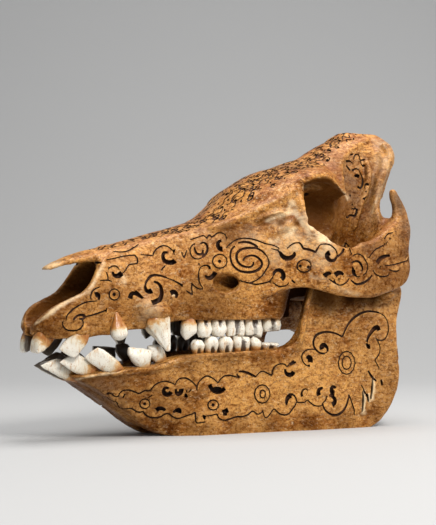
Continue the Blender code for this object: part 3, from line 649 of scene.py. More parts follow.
teeth = {
    "root": 10.0,  # mm
    "gap": 0.3,  # mm, round a tooth in its socket
    "cusp": 1.5,  # mm, how deep the end of a molar dips between its lobes
    "dome": 1.5,  # mm, how far the end of a premolar stands out in its middle
    "bite": 0.25,  # mm, by which the inner edge of a cheek tooth is longer
    # how far it is drawn in between its lobes, at the crown and at the root
    "cleft": {"molar": (0.34, 0.74), "premolar": (0.0, 0.8)},
    "cleftEdge": 34,  # power that narrows a cleft
    "squareness": 0.75,  # power that squares the section; 1 is round
    "flutes": (7, 0.05),  # round a canine's spike: how many, and their height as a share
    "uneven": ((3.2, 0.4), (1.4, 0.16)),  # waves of the enamel: size and height in mm
    "sides": 40,
    "levels": 18,  # rings from the root's end to the shoulder
    "shoulder": 0.82,
    "lastLevels": [0.87, 0.92, 0.96, 1.0],
    # name, middle of the gum line, tip, width, depth, turn of the width from X, shape, how far the tip's
    # front edge stands before its back edge in mm, how far down the stain of the root reaches
    "upper": (
        ("incisor_1", (-140.5, 7.8, 73), (-149, 7.6, 60.6), 10.5, 13.4, 82, "chisel", 0, 0.42),
        ("incisor_2", (-119, 16.5, 71), (-129.5, 16, 59.5), 13, 8, 12, "chisel", 1.2, 0.1),
        ("incisor_3", (-93.2, 22.2, 76.4), (-92.4, 23.2, 68.4), 11.4, 9, 5, "cone", 0, 0),
        ("canine", (-64.5, 25, 82), (-57, 29.5, 60.5), 19, 13, 5, "spike", 0, -0.05),
        ("premolar_1", (-36.5, 24.5, 81), (-36.9, 25, 68.8), 12, 8, 2, "peg", 1.5, 0.1),
        ("premolar_2", (-23.2, 24.3, 81.5), (-23.2, 24.8, 68.9), 11.6, 8, 3, "premolar", 0.2, 0),
        ("premolar_3", (-11.1, 24.8, 82), (-11.1, 25.3, 69.2), 11.9, 9, 3, "premolar", 0, -0.05),
        ("premolar_4", (3.4, 25.2, 82), (3.4, 25.8, 69.4), 15.4, 10, 3, "molar", 0.1, -0.1),
        ("molar_1", (19.3, 25.6, 82), (19.3, 26.2, 69.1), 15, 10, 3, "molar", -0.9, -0.05),
        ("molar_2", (36.2, 26, 83.5), (36.2, 26.6, 72.6), 15.6, 10, 3, "molar", 0.4, 0.15),
    ),
    "lower": (
        ("incisor_1", (-119, 4.4, 45), (-136.5, 4.4, 53.6), 10.6, 7, 0, "chisel", 4.6, 0),
        ("incisor_2", (-109, 12.4, 47), (-126.8, 12, 56.6), 12, 7.2, 2, "chisel", 3.6, 0.08),
        ("incisor_3", (-94.5, 19.2, 49), (-112.4, 18.8, 59.8), 12, 7.4, 12, "chisel", 1.8, -0.05),
        ("canine", (-72.5, 21.8, 50.2), (-77.4, 23.2, 61.8), 17.6, 10, 4, "wedge", 3.8, -0.05),
        ("premolar_1", (-57.3, 20.6, 53.5), (-64.8, 20.6, 63.6), 11, 7.5, 5, "peg", 1.4, 0.05),
        ("premolar_2", (-28.4, 23.6, 58), (-28.4, 24.1, 67.2), 10.2, 7.5, 6, "premolar", 0, 0.1),
        ("premolar_3", (-17.6, 25, 58.5), (-17.6, 25.4, 69.4), 10.4, 8, 6, "premolar", 0, 0),
        ("premolar_4", (-6, 26.4, 58.5), (-6, 26.9, 69.2), 11.2, 8.5, 6, "premolar", 0, -0.05),
        ("molar_1", (6.8, 28.2, 59), (6.8, 28.6, 68.9), 13.2, 9, 6, "molar", 0.2, 0.05),
        ("molar_2", (18.3, 29.7, 59.5), (18.3, 30.1, 67.8), 8.2, 9.4, 6, "peg", 0.8, 0.15),
        ("molar_3", (30.8, 31.4, 61), (30.8, 31.6, 64.2), 14, 8.5, 8, "molar", 0, -0.1),
    ),
}


def squared(value):
    # a sine or cosine drawn from a round section towards a square one
    return math.copysign(abs(value) ** teeth["squareness"], value)


def toothLift(kind, slant, a, outer, crown, close, count):
    # how far a point of the crown stands out of its ring, in mm
    lift = -slant * math.cos(a) * crown * close
    if kind in teeth["cleft"]:
        if kind == "premolar":
            lift -= teeth["dome"] * crown * math.cos(a) ** 2 * (1 if outer else 0.6) * close
        elif outer:
            lift -= teeth["cusp"] * crown * abs(math.sin(a)) ** 6 * close
        return lift + teeth["bite"] * crown * (not outer)
    lift += 0.3 * max(count, 0)
    if kind in ("peg", "wedge", "cone"):
        lift += 0.4 * crown * math.cos(2 * a + 1) * close
    return lift


def toothMesh(row, sign, grow=0):
    # a tooth from the end of its root to its worn tip, how far along it each point lies, and the painted
    # shade in its creases
    _, gum, tip, wide, deep, turn, kind, slant, dirt = row
    base = Vector((gum[0], gum[1] * sign, gum[2]))
    along = Vector((tip[0], tip[1] * sign, tip[2])) - base
    length = along.length
    along.normalize()
    angle = math.radians(turn * sign)
    flat = Vector((math.cos(angle), math.sin(angle), 0))
    flat = (flat - along * flat.dot(along)).normalized()
    thin = along.cross(flat)
    shape = toothShapes[kind]
    cheek = kind in teeth["cleft"]
    places = list(np.linspace(shape[0][0], teeth["shoulder"], teeth["levels"])) + teeth["lastLevels"]
    ends = 4 if cheek else 3
    rings, shares, creaseShade = [], [], []
    for share in places + [1.0] * (ends - 1):
        width, depth = between(shape, share)
        count = len(rings) - len(places) + 1
        close = 1.0 if count <= 0 else 1 - count / ends
        reach = share * length if share >= 0 else share * teeth["root"]
        reach += grow * (share == 1.0) - grow * (share == shape[0][0])
        crown = min(max((share - 0.5) / 0.5, 0), 1)
        cleft = float(np.interp(share, (0, 0.62), teeth["cleft"][kind][::-1])) if cheek else 0.0
        ring = []
        for k in range(teeth["sides"]):
            a = 2 * math.pi * (k + 0.5) / teeth["sides"]
            across = (wide * width / 2 * close + grow) * squared(math.cos(a))
            through = (deep * depth / 2 * close + grow) * squared(math.sin(a))
            outer = thin.y * math.sin(a) * sign > 0
            lift = toothLift(kind, slant, a, outer, crown, close, count)
            crease = cleft * abs(math.sin(a)) ** teeth["cleftEdge"]
            through *= 1 - crease
            if kind == "spike":
                flutes, height = teeth["flutes"]
                across *= 1 + height * math.cos(flutes * a)
                through *= 1 + height * math.cos(flutes * a)
            point = base + along * (reach + lift) + flat * across + thin * through
            if not grow:
                uneven = sum(noise.noise(point / size) * height for size, height in teeth["uneven"])
                point += (flat * math.cos(a) + thin * math.sin(a)) * uneven * close
                # painted shade: darker in the clefts and in dents of the enamel
                creaseShade.append(min(1.0, crease * 1.5 + max(0.0, -uneven) * 1.2))
            ring.append(point)
            shares.append(share + lift / length - dirt)
        rings.append(ring)
    return meshOfRings("tooth", rings), shares, creaseShade


toothMeshes = {}
sockets = {"upper": [], "lower": []}
for jawName in ("upper", "lower"):
    for sideName, sign in (("left", -1), ("right", 1)):
        for row in teeth[jawName]:
            toothMeshes[f"{jawName}_{sideName}_{row[0]}"] = toothMesh(row, sign)
            sockets[jawName].append(toothMesh(row, sign, teeth["gap"])[0])
print("teeth shaped:", len(toothMeshes))


# carving: strokes as the photographer sees them, in pixels of the photograph, cut into both sides alike
carving = {
    "voxel": 0.36,  # mm, the grid on which all cuts of a bone become one
    "triangles": {"cranium": 88000, "mandible": 130000},  # of the cuts of one bone
    "sides": 8,  # of the round gouge
    "farSide": 6,  # mm, past the middle, where strokes read from the photograph stop
    "jump": 6,  # mm, a gap over which a stroke breaks off
    # radius of the gouge at the start, middle and end of a stroke, and depth of the cut, in mm
    "tools": {
        "line": (0.62, 0.88, 0.62, 1.4),
        "broad": (0.7, 1.1, 0.75, 1.9),
        "taper": (0.5, 0.95, 1.5, 2.5),
        "comma": (0.9, 1.75, 2.05, 3.8),
        "pit": (0.75, 1.15, 0.8, 3.2),
        "hole": (1.5, 1.95, 1.6, 5.5),
        "slit": (0.9, 1.25, 0.9, 14.0),
    },
    "line": (
        # snout
        ((106.6, 259.9), (116.7, 257.8), (122.9, 256.3), (134.1, 255), (135.4, 256.1), (136.9, 257.5),
         (137.4, 260.2), (137.2, 263.2), (134.1, 263.9), (129.6, 264.5), (127.3, 267), (125.1, 270.9),
         (122.9, 272.8)),
        ((108.2, 269), (110.5, 267), (113.9, 265.9), (116.1, 266.1), (117.8, 267.5), (119.4, 269)),
        ((106.3, 272), (107.8, 276), (108, 280)),
        ((99.8, 280.5), (105, 280.2), (109.2, 280.5), (112, 281.8)),
        ((99.6, 287.5), (96.9, 288), (92.5, 290.9), (90.8, 295.9), (90.8, 299.3)),
        ((97, 301), (90.3, 301.5), (84.7, 302.7), (79.1, 305.5), (73.5, 308.9), (69.5, 312.8),
         (66.7, 316.2), (66.2, 319.6)),
        ((63.4, 320.9), (62.5, 323.1), (63.4, 326.5), (66.7, 329.8), (71.2, 330.7), (76.8, 330.4),
         (80.8, 328.1), (83, 324.8), (83.3, 322), (82.4, 320.3)),
        ((85.3, 316.4), (90.3, 315.6), (97, 313.6), (103.2, 311.3), (106, 310.2)),
        ((140.8, 254.7), (148.7, 255.3), (152.6, 255.3), (153.7, 252.5), (156.5, 249.1), (161, 246.3),
         (165.5, 245.8), (170, 248), (173.3, 251.4), (174.5, 254.7)),
        ((165.5, 265.3), (163, 268), (161, 270.4)), ((181.5, 252), (184, 257.5), (186.8, 250)),
        ((112.7, 251.3), (122.8, 251.9), (129.5, 250.2), (132.9, 247.9), (135.1, 246.8), (138.5, 244)),
        # cheek
        ((202.5, 257.3), (199, 258.8), (195.5, 258.8), (192.5, 257), (190.5, 253.5), (190, 250),
         (191.5, 246), (195, 243.3)),
        ((190, 239.5), (194, 238.5), (200, 236.5), (203, 235.5), (205, 236.5), (206.8, 238),
         (208.5, 235.5), (210, 235), (211.2, 237), (213, 236.5), (216, 234), (219.5, 232.7),
         (223.5, 233.5), (225.5, 235.5), (227, 239.5)),
        ((200.5, 267.5), (199, 271), (198.5, 275.5), (199, 280.5), (200.5, 284.5), (203, 288.3)),
        ((203.3, 288.8), (200, 289), (196, 287.5), (193, 284.5), (191.6, 282.7)),
        ((191.5, 283), (191.7, 288.5), (192.5, 295)), ((192.3, 294.8), (189, 292.5), (186, 290.5)),
        ((226, 248), (230, 244), (235, 240.5), (241, 238.5), (247, 238.3), (254, 239.5), (260, 241.5),
         (265, 243.5), (270, 244.5), (275, 246), (279.5, 248.5)),
        ((234.5, 278), (241, 281), (247, 282.5), (253, 284), (258, 284.3), (264, 283), (269, 281.5),
         (272, 278), (273.5, 275.5)),
        ((273, 282.5), (277, 285.5), (281, 286.5), (286, 285.5), (289, 282.5)),
        ((265.5, 254.5), (268, 258.5), (268.8, 262.5), (268, 266.5), (265.5, 270.5), (263, 274.5),
         (259.5, 278), (255, 281), (250, 282.5)), ((287, 248.5), (291, 245), (295, 243), (299, 242.5)),
        ((317.5, 248.5), (320, 245), (324, 244), (329, 244.5), (333, 247), (336, 250.5), (337, 254.5),
         (336, 257.5)), ((352, 254.5), (350, 249.5), (348, 245.5), (345.7, 242.5)),
        ((329, 279), (334, 282.5), (337, 284.5)),
        ((334, 279.5), (336, 283.5), (340, 285.2), (344, 284), (347.5, 281), (349, 278)),
        ((291.5, 280), (295, 283)),
        ((363, 275.5), (366, 272.5), (367.5, 268.5), (367.5, 264.5), (365.5, 260.5), (363, 256.5),
         (359, 254), (355, 254.5), (353, 256)),
        ((368.5, 258.5), (371, 254.5), (375, 250), (380, 247), (383, 245.5), (385, 243.5)),
        ((384, 239.5), (386, 236), (389, 233.5), (393, 232.5)),
        ((373, 270), (375, 273.5), (379, 276), (384, 276.5), (388, 275.5), (389, 273)),
        ((389, 269.5), (393, 271), (397, 271), (399.5, 269.5)),
        ((385, 265.5), (392, 265), (398, 263.5), (403, 262), (407, 260.5), (408.5, 257)),
        # braincase
        ((353.5, 159.5), (354, 156.5), (355.5, 154.5), (358, 154.5), (359.5, 156.5), (360, 160)),
        ((360.5, 160.5), (365, 159.3)), ((351.5, 208.5), (354, 209), (355.5, 207.5)),
        ((350, 155), (353, 154)),
        # lower jaw
        ((112, 393.5), (114, 396), (118, 396.5), (119.5, 393.5), (122.5, 391), (126.5, 390),
         (131, 390.5), (135, 392), (139, 393.5), (142, 392), (145, 390.7), (150, 390.7), (152, 388),
         (155, 385), (159, 382.5), (164, 381.3), (169, 382), (173, 383.5), (175.5, 384.7)),
        ((175.5, 384.7), (176.5, 381.5), (179, 379), (182.5, 378), (186.5, 378.3), (190.5, 380.5),
         (194, 383.5), (196.5, 387), (196.8, 390.5)),
        ((197, 388), (198, 383.5), (200.5, 380), (204, 377), (207, 376), (211, 377.3), (215, 380),
         (218, 383)),
        ((218, 383), (219.8, 380), (223, 376.8), (227, 375.4), (231, 375.5), (235, 376.7),
         (239.5, 377.5), (236.5, 374)),
        ((256, 376.7), (258, 374), (261, 371.5), (264, 371.5), (267, 373), (270, 374.7), (272, 375),
         (272.2, 371.5), (274, 367.5), (277, 365), (281, 363.8), (285, 364.5), (287, 366.5), (290, 363),
         (294, 360.5)),
        ((107, 397), (109, 399), (113, 401), (116.5, 402), (117.5, 404.5), (119.5, 407.5), (123, 408.8),
         (127, 408.8), (131, 408.5), (134, 410), (137.5, 412), (140, 412.3), (143, 411.7), (145, 414.5),
         (149, 417), (153, 417.7), (158, 417.5), (162, 416), (165, 414), (169, 414), (171, 415.5),
         (174, 417.5), (178, 418.5), (182, 417.5), (187, 415.5), (192, 414), (195, 412.5),
         (195.5, 416.5), (195.5, 420.5), (197, 423), (201, 422.5), (205, 422)),
        ((206, 416), (210, 415.5), (215, 414.5), (217, 414), (218, 416.5), (220, 419), (225, 420.3),
         (231, 418.5), (237, 416.7), (243, 416.5), (248, 414.5), (251.5, 411.5), (254, 411.5),
         (256, 413.5), (259, 414), (262, 412), (262.7, 410)),
        ((262.9, 411), (265, 417.5), (268, 416.5), (271, 412.5), (274, 409), (277, 411.5), (280, 414),
         (285, 415), (289, 413.5), (292, 409.5), (295, 405.5), (296.5, 402.5), (300, 402.5),
         (304, 402.5), (306, 401), (307.5, 399.5)),
        ((307.5, 399.5), (309, 401.5), (312, 404), (315, 405.7), (320, 406), (322.9, 404.2)),
        ((314.9, 349.7), (310.7, 349.2), (305.8, 350.4), (302.5, 353.7), (301.8, 358), (303.4, 362.2),
         (306.4, 365.2), (310.1, 366.5)),
        ((378.8, 312.7), (383.7, 315.4), (386.7, 319.6), (388.2, 325.1), (388.2, 331.2), (386.7, 336),
         (383.7, 339.7), (380, 340.3), (377, 339.1), (375.8, 337.9)),
        ((376.6, 339.7), (378.8, 343.3), (380, 348.2), (379.4, 353.1), (377, 357.3), (375.2, 359.8),
         (377, 364), (379.4, 368.3)), ((361.2, 384.7), (363.6, 389.6), (366.7, 395.7), (369.1, 401.7)),
        ((327.1, 395.7), (325.3, 400.5), (321.9, 403.6)),
        ((349, 394.5), (350.8, 399.3), (352.7, 405.4), (354.2, 410.3), (354.2, 415.1)),
    ),
    "broad": (
        ((101.5, 263), (95, 262.5)),
        ((73.5, 320.3), (74.6, 318.1), (77.4, 315.8), (80.8, 314.9), (83.6, 315.3), (84.9, 316.6),
         (84.1, 318.1), (81.9, 318.9), (79.1, 318.7)),
        ((166.7, 277.8), (161, 275.9), (155.4, 275), (150.9, 276.1), (148.1, 278.9), (145.9, 282.9),
         (145, 286.8)),
        ((200.5, 244), (203, 242.5), (205.5, 243.5), (207, 245.5), (207.5, 249), (206.5, 252.5),
         (205, 255), (202.5, 257.3)),
        ((194.5, 247), (195, 250), (197, 253.5), (200, 254.5), (202.5, 253), (203, 249.5)),
        ((243.5, 261), (244, 258.5), (247, 256.5), (251, 255.5), (255, 256), (259, 258.5),
         (261.5, 261.5), (262, 264.5), (260.5, 267.5), (257.5, 270), (254, 271.5), (249, 272.3),
         (244, 272), (239, 270.5), (235, 267.5), (232, 263.5), (230.5, 258.5), (230.5, 253.5),
         (231.5, 249.5), (235, 246)),
        ((253.3, 261.7), (253.5, 263.5), (252, 266), (249, 267.2), (245, 266.7), (241, 265), (238, 262),
         (236.5, 258), (236.8, 254), (239, 251), (242.5, 249), (247, 248), (252, 248), (257, 248.5),
         (262, 251), (265.5, 254.5)), ((238, 243), (243, 242), (249, 242.5), (254, 244.5), (258, 247)),
        ((299, 242.5), (301.5, 245), (303.5, 248.5), (309, 249.5), (314, 251.5), (315.5, 252),
         (317.5, 248.5)),
        ((336, 257.5), (339, 255.5), (342, 252.5), (344, 248.5), (345, 245), (345.5, 242.5)),
        ((351.5, 263), (354.5, 261.5), (358, 261.3), (360.5, 263.5), (362, 266.5), (362.5, 269.5),
         (361.5, 271)),
        ((351, 280), (353, 282), (357, 284.3), (363, 283), (367, 280.5), (370, 278), (372, 275)),
        ((346, 165.5), (348.5, 168.5), (350.5, 170.5)),
        ((346, 216.5), (347.5, 217.5), (349.5, 215.5), (352, 215.3), (354.5, 216), (356, 213.5),
         (356.5, 210.5), (357, 208.5)),
        ((238.5, 371.7), (243, 371.5), (248, 373), (253, 375.5), (256, 376.7)),
        ((290, 365), (293, 363.3), (296, 362)),
        ((342.3, 337), (338.7, 334.8), (332.6, 332.6), (326.5, 332), (320.4, 333), (315.6, 336),
         (313.5, 340.9), (313.7, 345.8), (316.2, 350), (319.8, 352.8), (324.1, 353.7)),
        ((342.3, 337), (344.1, 332.4), (346.6, 326.9), (349.6, 322.1), (354.5, 317.2), (360.6, 313.5),
         (366.7, 311.5), (372.7, 311.5), (378.8, 312.7)),
        ((322.9, 404.2), (323.5, 407.2), (326.5, 411.5), (331.4, 414.5), (336.2, 415.1), (341.1, 412.7),
         (344.8, 408.4), (347.2, 403), (348.4, 398.1), (349, 394.5)),
        ((376.4, 381.1), (371.5, 376.2), (368.1, 370.7)),
    ),
    "taper": (
        ((166.7, 277.8), (172.3, 280), (177.9, 282.8), (182.9, 286)),
        ((200.5, 267.5), (203.5, 265.7), (206.5, 265.3), (209, 266.5), (210, 269)),
        ((271, 248.5), (275, 249.7), (278, 250.5), (279.5, 252.5), (282, 256), (285, 258.2)),
        ((360, 275.8), (359, 277), (356, 276), (353.5, 273), (352.5, 269.5), (353.5, 267.5)),
        ((353, 162), (351.5, 162.5), (350, 161), (346, 161)),
        ((359, 170), (356.5, 168.7), (354, 169.3), (352, 171)),
        ((359, 170), (360.5, 173), (362, 176.5), (362.8, 180.5), (362.2, 184.5), (361.2, 187.5),
         (359.5, 188), (357.8, 186.5)), ((360.3, 161), (361.5, 164.5), (363, 166), (364.5, 165)),
        ((364.5, 188.5), (365, 184.5), (367, 183.5), (367.5, 185.5)),
        ((367, 196.5), (365, 198), (363.5, 199)), ((112, 394.5), (109, 392.9), (107, 394.5)),
        ((324.1, 353.7), (326.9, 351.9), (327.5, 348.2), (325.9, 345.2), (322.9, 344), (321.4, 345.2)),
        ((308, 390.5), (306, 389), (303, 390), (301.5, 393.5), (302.5, 396.5)),
        ((296.5, 402.5), (296.5, 400.5), (295, 396.5), (292, 394.2), (290, 395)),
    ),
    "comma": (
        ((112.8, 271.6), (113.5, 274.5), (116, 276), (119, 275.5), (122, 273)),
        ((145, 285.5), (145.9, 289.6), (148.7, 291.8), (152, 290.6)),
        ((153.7, 281.8), (157.6, 282.9), (160.4, 286.2), (161.6, 290.7), (161.6, 294.6), (159.9, 299.1),
         (156, 301.5), (151.8, 302.8)),
        ((167.7, 252.5), (164.4, 252.5), (163, 255.3), (163.3, 258.6), (165.5, 261.4), (169.4, 262.5),
         (173.3, 262), (175, 260.3)),
        ((205.5, 275), (206.5, 277), (209, 278), (212, 277), (214.5, 274), (215.3, 272.2)),
        ((98.6, 300), (99, 296.5), (97.4, 294.4), (95.2, 295.2)),
        ((143, 298.5), (138.5, 294.8), (134.8, 292.4)), ((134.8, 292.4), (131.5, 294), (130, 298.5)),
        ((175.5, 298), (176.8, 294.5), (174, 291.8), (170.5, 293.2)),
        ((221.5, 240.3), (218.7, 242), (217.9, 245.5), (219.7, 248.6), (222.6, 249)),
        ((294, 252), (294.5, 254.5), (292, 257), (289, 258.3), (285, 258.2)),
        ((280, 251.5), (281.5, 255), (285, 258)),
        ((273.5, 275), (274.5, 272), (278, 270), (281.5, 271), (283.2, 273.8), (283.4, 277),
         (281.3, 279.3)),
        ((336.7, 257), (334, 260.5), (330, 260.3), (327.2, 257.3), (327.3, 254.2), (330, 252.6)),
        ((331, 274.3), (329, 273.2), (326.3, 274.2), (324.4, 276.3)),
        ((343.5, 275), (341.5, 273.2), (338, 273), (335, 275.3)),
        ((356, 276), (354, 273.5), (353.3, 270)), ((354.5, 176.3), (357, 175.7), (359, 177)),
        ((169, 388.5), (165, 387.8), (163.6, 391.2), (165.5, 394.2), (169, 394.4), (171, 391.8)),
        ((175.6, 389), (176.3, 392.5), (178.3, 394), (181, 392), (181.3, 388.8)),
        ((184.7, 396.8), (186.8, 395)), ((165.5, 410.3), (162.5, 408.8), (159, 408.5), (156.3, 410.3)),
        ((173, 412.3), (176.5, 410.3), (179.3, 410.3), (178.8, 413)),
        ((222, 410.7), (225, 411.3), (228, 409.8)), ((225, 411.3), (225, 415.3)),
        ((205.5, 416.3), (203.5, 417.5)),
        ((285, 369), (285.7, 372.5), (288.3, 374.7), (291.8, 374.4), (293.7, 371.7)),
        ((286.6, 405), (286.6, 401), (288, 397.5), (291, 395.3)),
        ((323, 387.8), (319.5, 389.2), (318.3, 392.5), (319, 395.5)),
        ((336, 388), (333, 386.5), (331.6, 389), (332, 392.3), (334.6, 393)),
        ((329, 395.3), (333, 397), (335, 400), (334.3, 403), (332.2, 404.8)),
        ((366.8, 342), (368.3, 337), (371, 332.5), (374.3, 328.5), (377.6, 327.3), (379.2, 330.5)),
        ((366.5, 343.3), (368, 346.3), (370, 346.5)),
        ((327.6, 351.5), (327.3, 347.8), (324.2, 345), (321.5, 346.5), (322, 349.3)),
        ((306.3, 358.5), (308.6, 356.6), (311, 358.7), (310.6, 362.2)),
        ((390, 255.5), (386, 256), (382, 257.5), (379, 260), (377, 263)),
    ),
    "hole": (
        ((106, 310), (107, 310.2)), ((309.2, 359), (310.3, 361.8)), ((304, 194), (308, 195)),
        ((150, 395.8), (150.5, 397)), ((123.3, 395.6), (124.6, 396.2)), ((190, 390.3), (190.6, 390.8)),
        ((80.8, 280.2), (82.5, 280)), ((210, 386.5), (213, 390), (217, 391.6), (221.5, 391), (225, 388)),
        ((214, 388.5), (221, 389.5)), ((209.5, 384.5), (210.5, 387)), ((386.3, 242.8), (387, 243.4)),
        ((380, 266.6), (380.5, 267.2)), ((174, 250.6), (174.6, 251)),
    ),
    "slit": (
        ((363, 391), (363.4, 401), (362.4, 412)), ((372.8, 378.5), (372.3, 388), (371, 399.5)),
        ((367.3, 393.5), (368.7, 402)), ((381, 379.5), (382.2, 385.5)),
    ),
    # rings: middle, half-widths, and the dots inside: place from the middle and radius
    "rings": (
        (114.4, 294.5, 5.3, 5.6, ((0, 0, 1.7),)), (219.8, 261.3, 7.3, 7, ((0, 0, 1.6),)),
        (304, 266, 7.2, 6.3, ((-3.5, 0, 1.2), (4.5, 1, 1.2))), (144.8, 403.8, 5.1, 4.8, ((0, 0, 1.2),)),
        (213.2, 405, 5.4, 5, ((0, 0, 1.6),)), (262.2, 394, 7.8, 9.2, ()), (262.7, 394, 2.7, 4, ()),
        (346.6, 362.8, 8.3, 11.6, ()), (346.6, 362.8, 4.6, 6.6, ()),
    ),
    "dots": (
        (350.2, 195.5), (352.2, 204.5), (366, 191.5), (309.2, 365.6), (339, 279), (390, 238.5), (199, 264),
        (98.7, 249.3), (108.2, 248.3), (143, 239.6), (186.8, 391.2),
    ),
}
# the roof's scrolls follow a rule: uneven rows of curls, leaves and pits from the nose to the crest
roofCarving = {
    # x, how far out from the middle the carving goes
    "edge": (
        (-104, 8), (-84, 11), (-62, 14), (-34, 18), (-6, 23), (16, 29), (39, 34), (56, 36), (75, 37),
        (84, 34), (92, 28), (106, 20), (132, 15), (152, 12),
    ),
    "rowWidth": 5.8,  # mm
    "pitch": 8.6,  # mm, from one motif to the next in a row
    "vine": 26,  # mm, the longest of the thin lines between two rows
    "from": -100,
    "to": 151,
    "seed": 11,
    "motifs": {"curl": 0.4, "leaf": 0.22, "pits": 0.2, "wave": 0.18},  # the share of each
    "curl": (2, 3),  # mm, radius of the smallest and largest curl
    "stray": (0.9, 1.2),  # mm, how far a motif may stray from its row and from its place in it
    "leaf": (3.2, 3.4, 1.9, 1.2),  # mm, its length before and behind, half-width, how far its tip may bend
    "wave": (2.2, 1.9, 1.9),  # mm, its step and its height, and the radians it turns in a step
    "ripple": (1.1, 0.75),  # mm, the height of a vine's waves, and the radians they turn in a mm
    "size": 0.7,  # of the gouges, against the ones on the sides
}


def skinOf(made):
    # the surface of a bone, in mm, for finding places on it
    mesh = made.data
    mesh.calc_loop_triangles()
    corners = np.empty(len(mesh.loop_triangles) * 3, np.int32)
    mesh.loop_triangles.foreach_get("vertices", corners)
    return BVHTree.FromPolygons([Vector(p) for p in pointsOf(mesh)], corners.reshape(-1, 3).tolist())


skins = {"cranium": skinOf(skull), "mandible": skinOf(mandible)}
eye = Vector(camera["place"])


def onBone(start, aim):
    # the bone that a line meets first, with the place and the way out of the surface
    best = None
    for bone, skin in skins.items():
        place, outward, _, far = skin.ray_cast(start, aim)
        if place is not None and (best is None or far < best[3]):
            best = (bone, place, outward, far)
    return best


def gougeAt(tool, share):
    # radius of a tool's gouge at a share of its stroke
    return float(np.interp(share, (0, 0.5, 1), carving["tools"][tool][:3]))


def traced(corners, tool, paths, steps=3):
    # lays a stroke of the photograph on the bone; it breaks where it leaves the bone or jumps too far
    line = curved(corners, steps, closed=False)
    runs = [[]]
    for i, (u, v) in enumerate(line):
        found = onBone(eye, sightLine(camera, u, v))
        if found is None or found[1].y > carving["farSide"]:
            runs.append([])
            continue
        bone, place, outward, _ = found
        if runs[-1] and (runs[-1][-1][0] != bone or (runs[-1][-1][1] - place).length > carving["jump"]):
            runs.append([])
        runs[-1].append((bone, place, outward, gougeAt(tool, i / (len(line) - 1))))
    for run in runs:
        if len(run) > 1:
            sunk(run, carving["tools"][tool][3], paths)


def sunk(run, depth, paths):
    # the gouge's paths along a run, one below the other where the cut is deep
    bone = run[0][0]
    widest = max(radius for _, _, _, radius in run)
    levels = max(1, int(math.ceil((depth - widest * 0.6) / (widest * 1.1))))
    for level in range(levels + (levels > 1)):
        path = []
        for _, place, outward, radius in run:
            down = depth * radius / widest - radius
            if levels > 1:
                down = down * level / levels
            path.append((place - outward * down, radius))
        paths[bone].append(path)


def ringStroke(u, v, wide, high):
    # an oval round a pixel, as a closed stroke
    return [(u + wide * math.cos(a), v + high * math.sin(a)) for a in np.linspace(0, 2 * math.pi, 13)]


def curlCorners(x, y, reach, turn, start):
    # a curl that closes in, drawn longer than wide
    corners = []
    for k in range(8):
        a = start + turn * k / 7 * 1.45 * math.pi
        here = reach * (1 - 0.08 * k)
        corners.append((x + here * 1.25 * math.cos(a), y + here * math.sin(a)))
    return corners


def roofMotif(motif, x, y, turn, start, reach, tip, paths):
    if motif == "curl":
        roofStroke(curlCorners(x, y, reach, turn, start), "taper", paths)
    elif motif == "leaf":
        before, behind, wide, _ = roofCarving["leaf"]
        for side in (-1, 1):
            roofStroke([(x - before, y), (x, y + side * wide), (x + behind, y + tip)], "broad", paths)
    elif motif == "wave":
        step, high, fast = roofCarving["wave"]
        wave = [(x + step * t, y + turn * high * math.sin(fast * t)) for t in (-2, -1, 0, 1, 2)]
        roofStroke(wave, "broad", paths)
    roofStroke([(x + turn * 0.6, y - 0.5), (x - turn * 0.9, y + 0.7)], "pit", paths)


def roofPaths(spec, paths):
    rng = np.random.default_rng(spec["seed"])
    aside, ahead = spec["stray"]
    for row in range(int(max(wide for _, wide in spec["edge"]) // spec["rowWidth"]) + 1):
        x = spec["from"] + (row % 2) * spec["pitch"] / 2
        while x < spec["to"]:
            middle = (row + 0.5) * spec["rowWidth"] + rng.uniform(-aside, aside)
            place = x + rng.uniform(-ahead, ahead)
            turn = rng.choice((-1, 1))
            start = rng.uniform(0, 2 * math.pi)
            reach = rng.uniform(*spec["curl"])
            motif = rng.choice(list(spec["motifs"]), p=list(spec["motifs"].values()))
            tip = rng.uniform(-spec["leaf"][3], spec["leaf"][3])
            x += spec["pitch"] * rng.uniform(0.8, 1.15)
            if middle <= between(spec["edge"], place)[0] - 1.5:
                roofMotif(motif, place, middle, turn, start, reach, tip, paths)
        y = row * spec["rowWidth"]
        x = spec["from"]
        while row and x < spec["to"]:
            long = spec["vine"] * rng.uniform(0.4, 1)
            if y < min(between(spec["edge"], x)[0], between(spec["edge"], x + long)[0]) - 2:
                high, fast = spec["ripple"]
                shares = np.linspace(0, 1, 11)
                vine = [(x + long * t, y + high * math.sin(fast * long * t)) for t in shares]
                roofStroke(vine, "line", paths)
            x += long + rng.uniform(1, 3)


def roofStroke(corners, tool, paths):
    # lays a stroke of the roof, drawn in x and y, on the cranium from above
    size = roofCarving["size"]
    run = []
    for i, (x, y) in enumerate(curved(corners, 2, closed=False)):
        found = onBone(Vector((x, -abs(y), 300)), Vector((0, 0, -1)))
        if found is None or found[0] != "cranium":
            return
        run.append((*found[:3], gougeAt(tool, i / (2 * (len(corners) - 1))) * size))
    sunk(run, carving["tools"][tool][3] * size, paths)


strokes = {"cranium": [], "mandible": []}
for tool in carving["tools"]:
    for corners in carving.get(tool, ()):
        traced(corners, tool, strokes)
for u, v, wide, high, dots in carving["rings"]:
    traced(ringStroke(u, v, wide, high), "line", strokes, 1)
    for across, down, reach in dots:
        traced(ringStroke(u + across, v + down, reach * 0.4, reach * 0.4), "broad", strokes, 1)
for u, v in carving["dots"]:
    traced(((u - 0.7, v), (u + 0.7, v)), "broad", strokes)
roofPaths(roofCarving, strokes)
print("strokes laid:", {bone: len(paths) for bone, paths in strokes.items()})


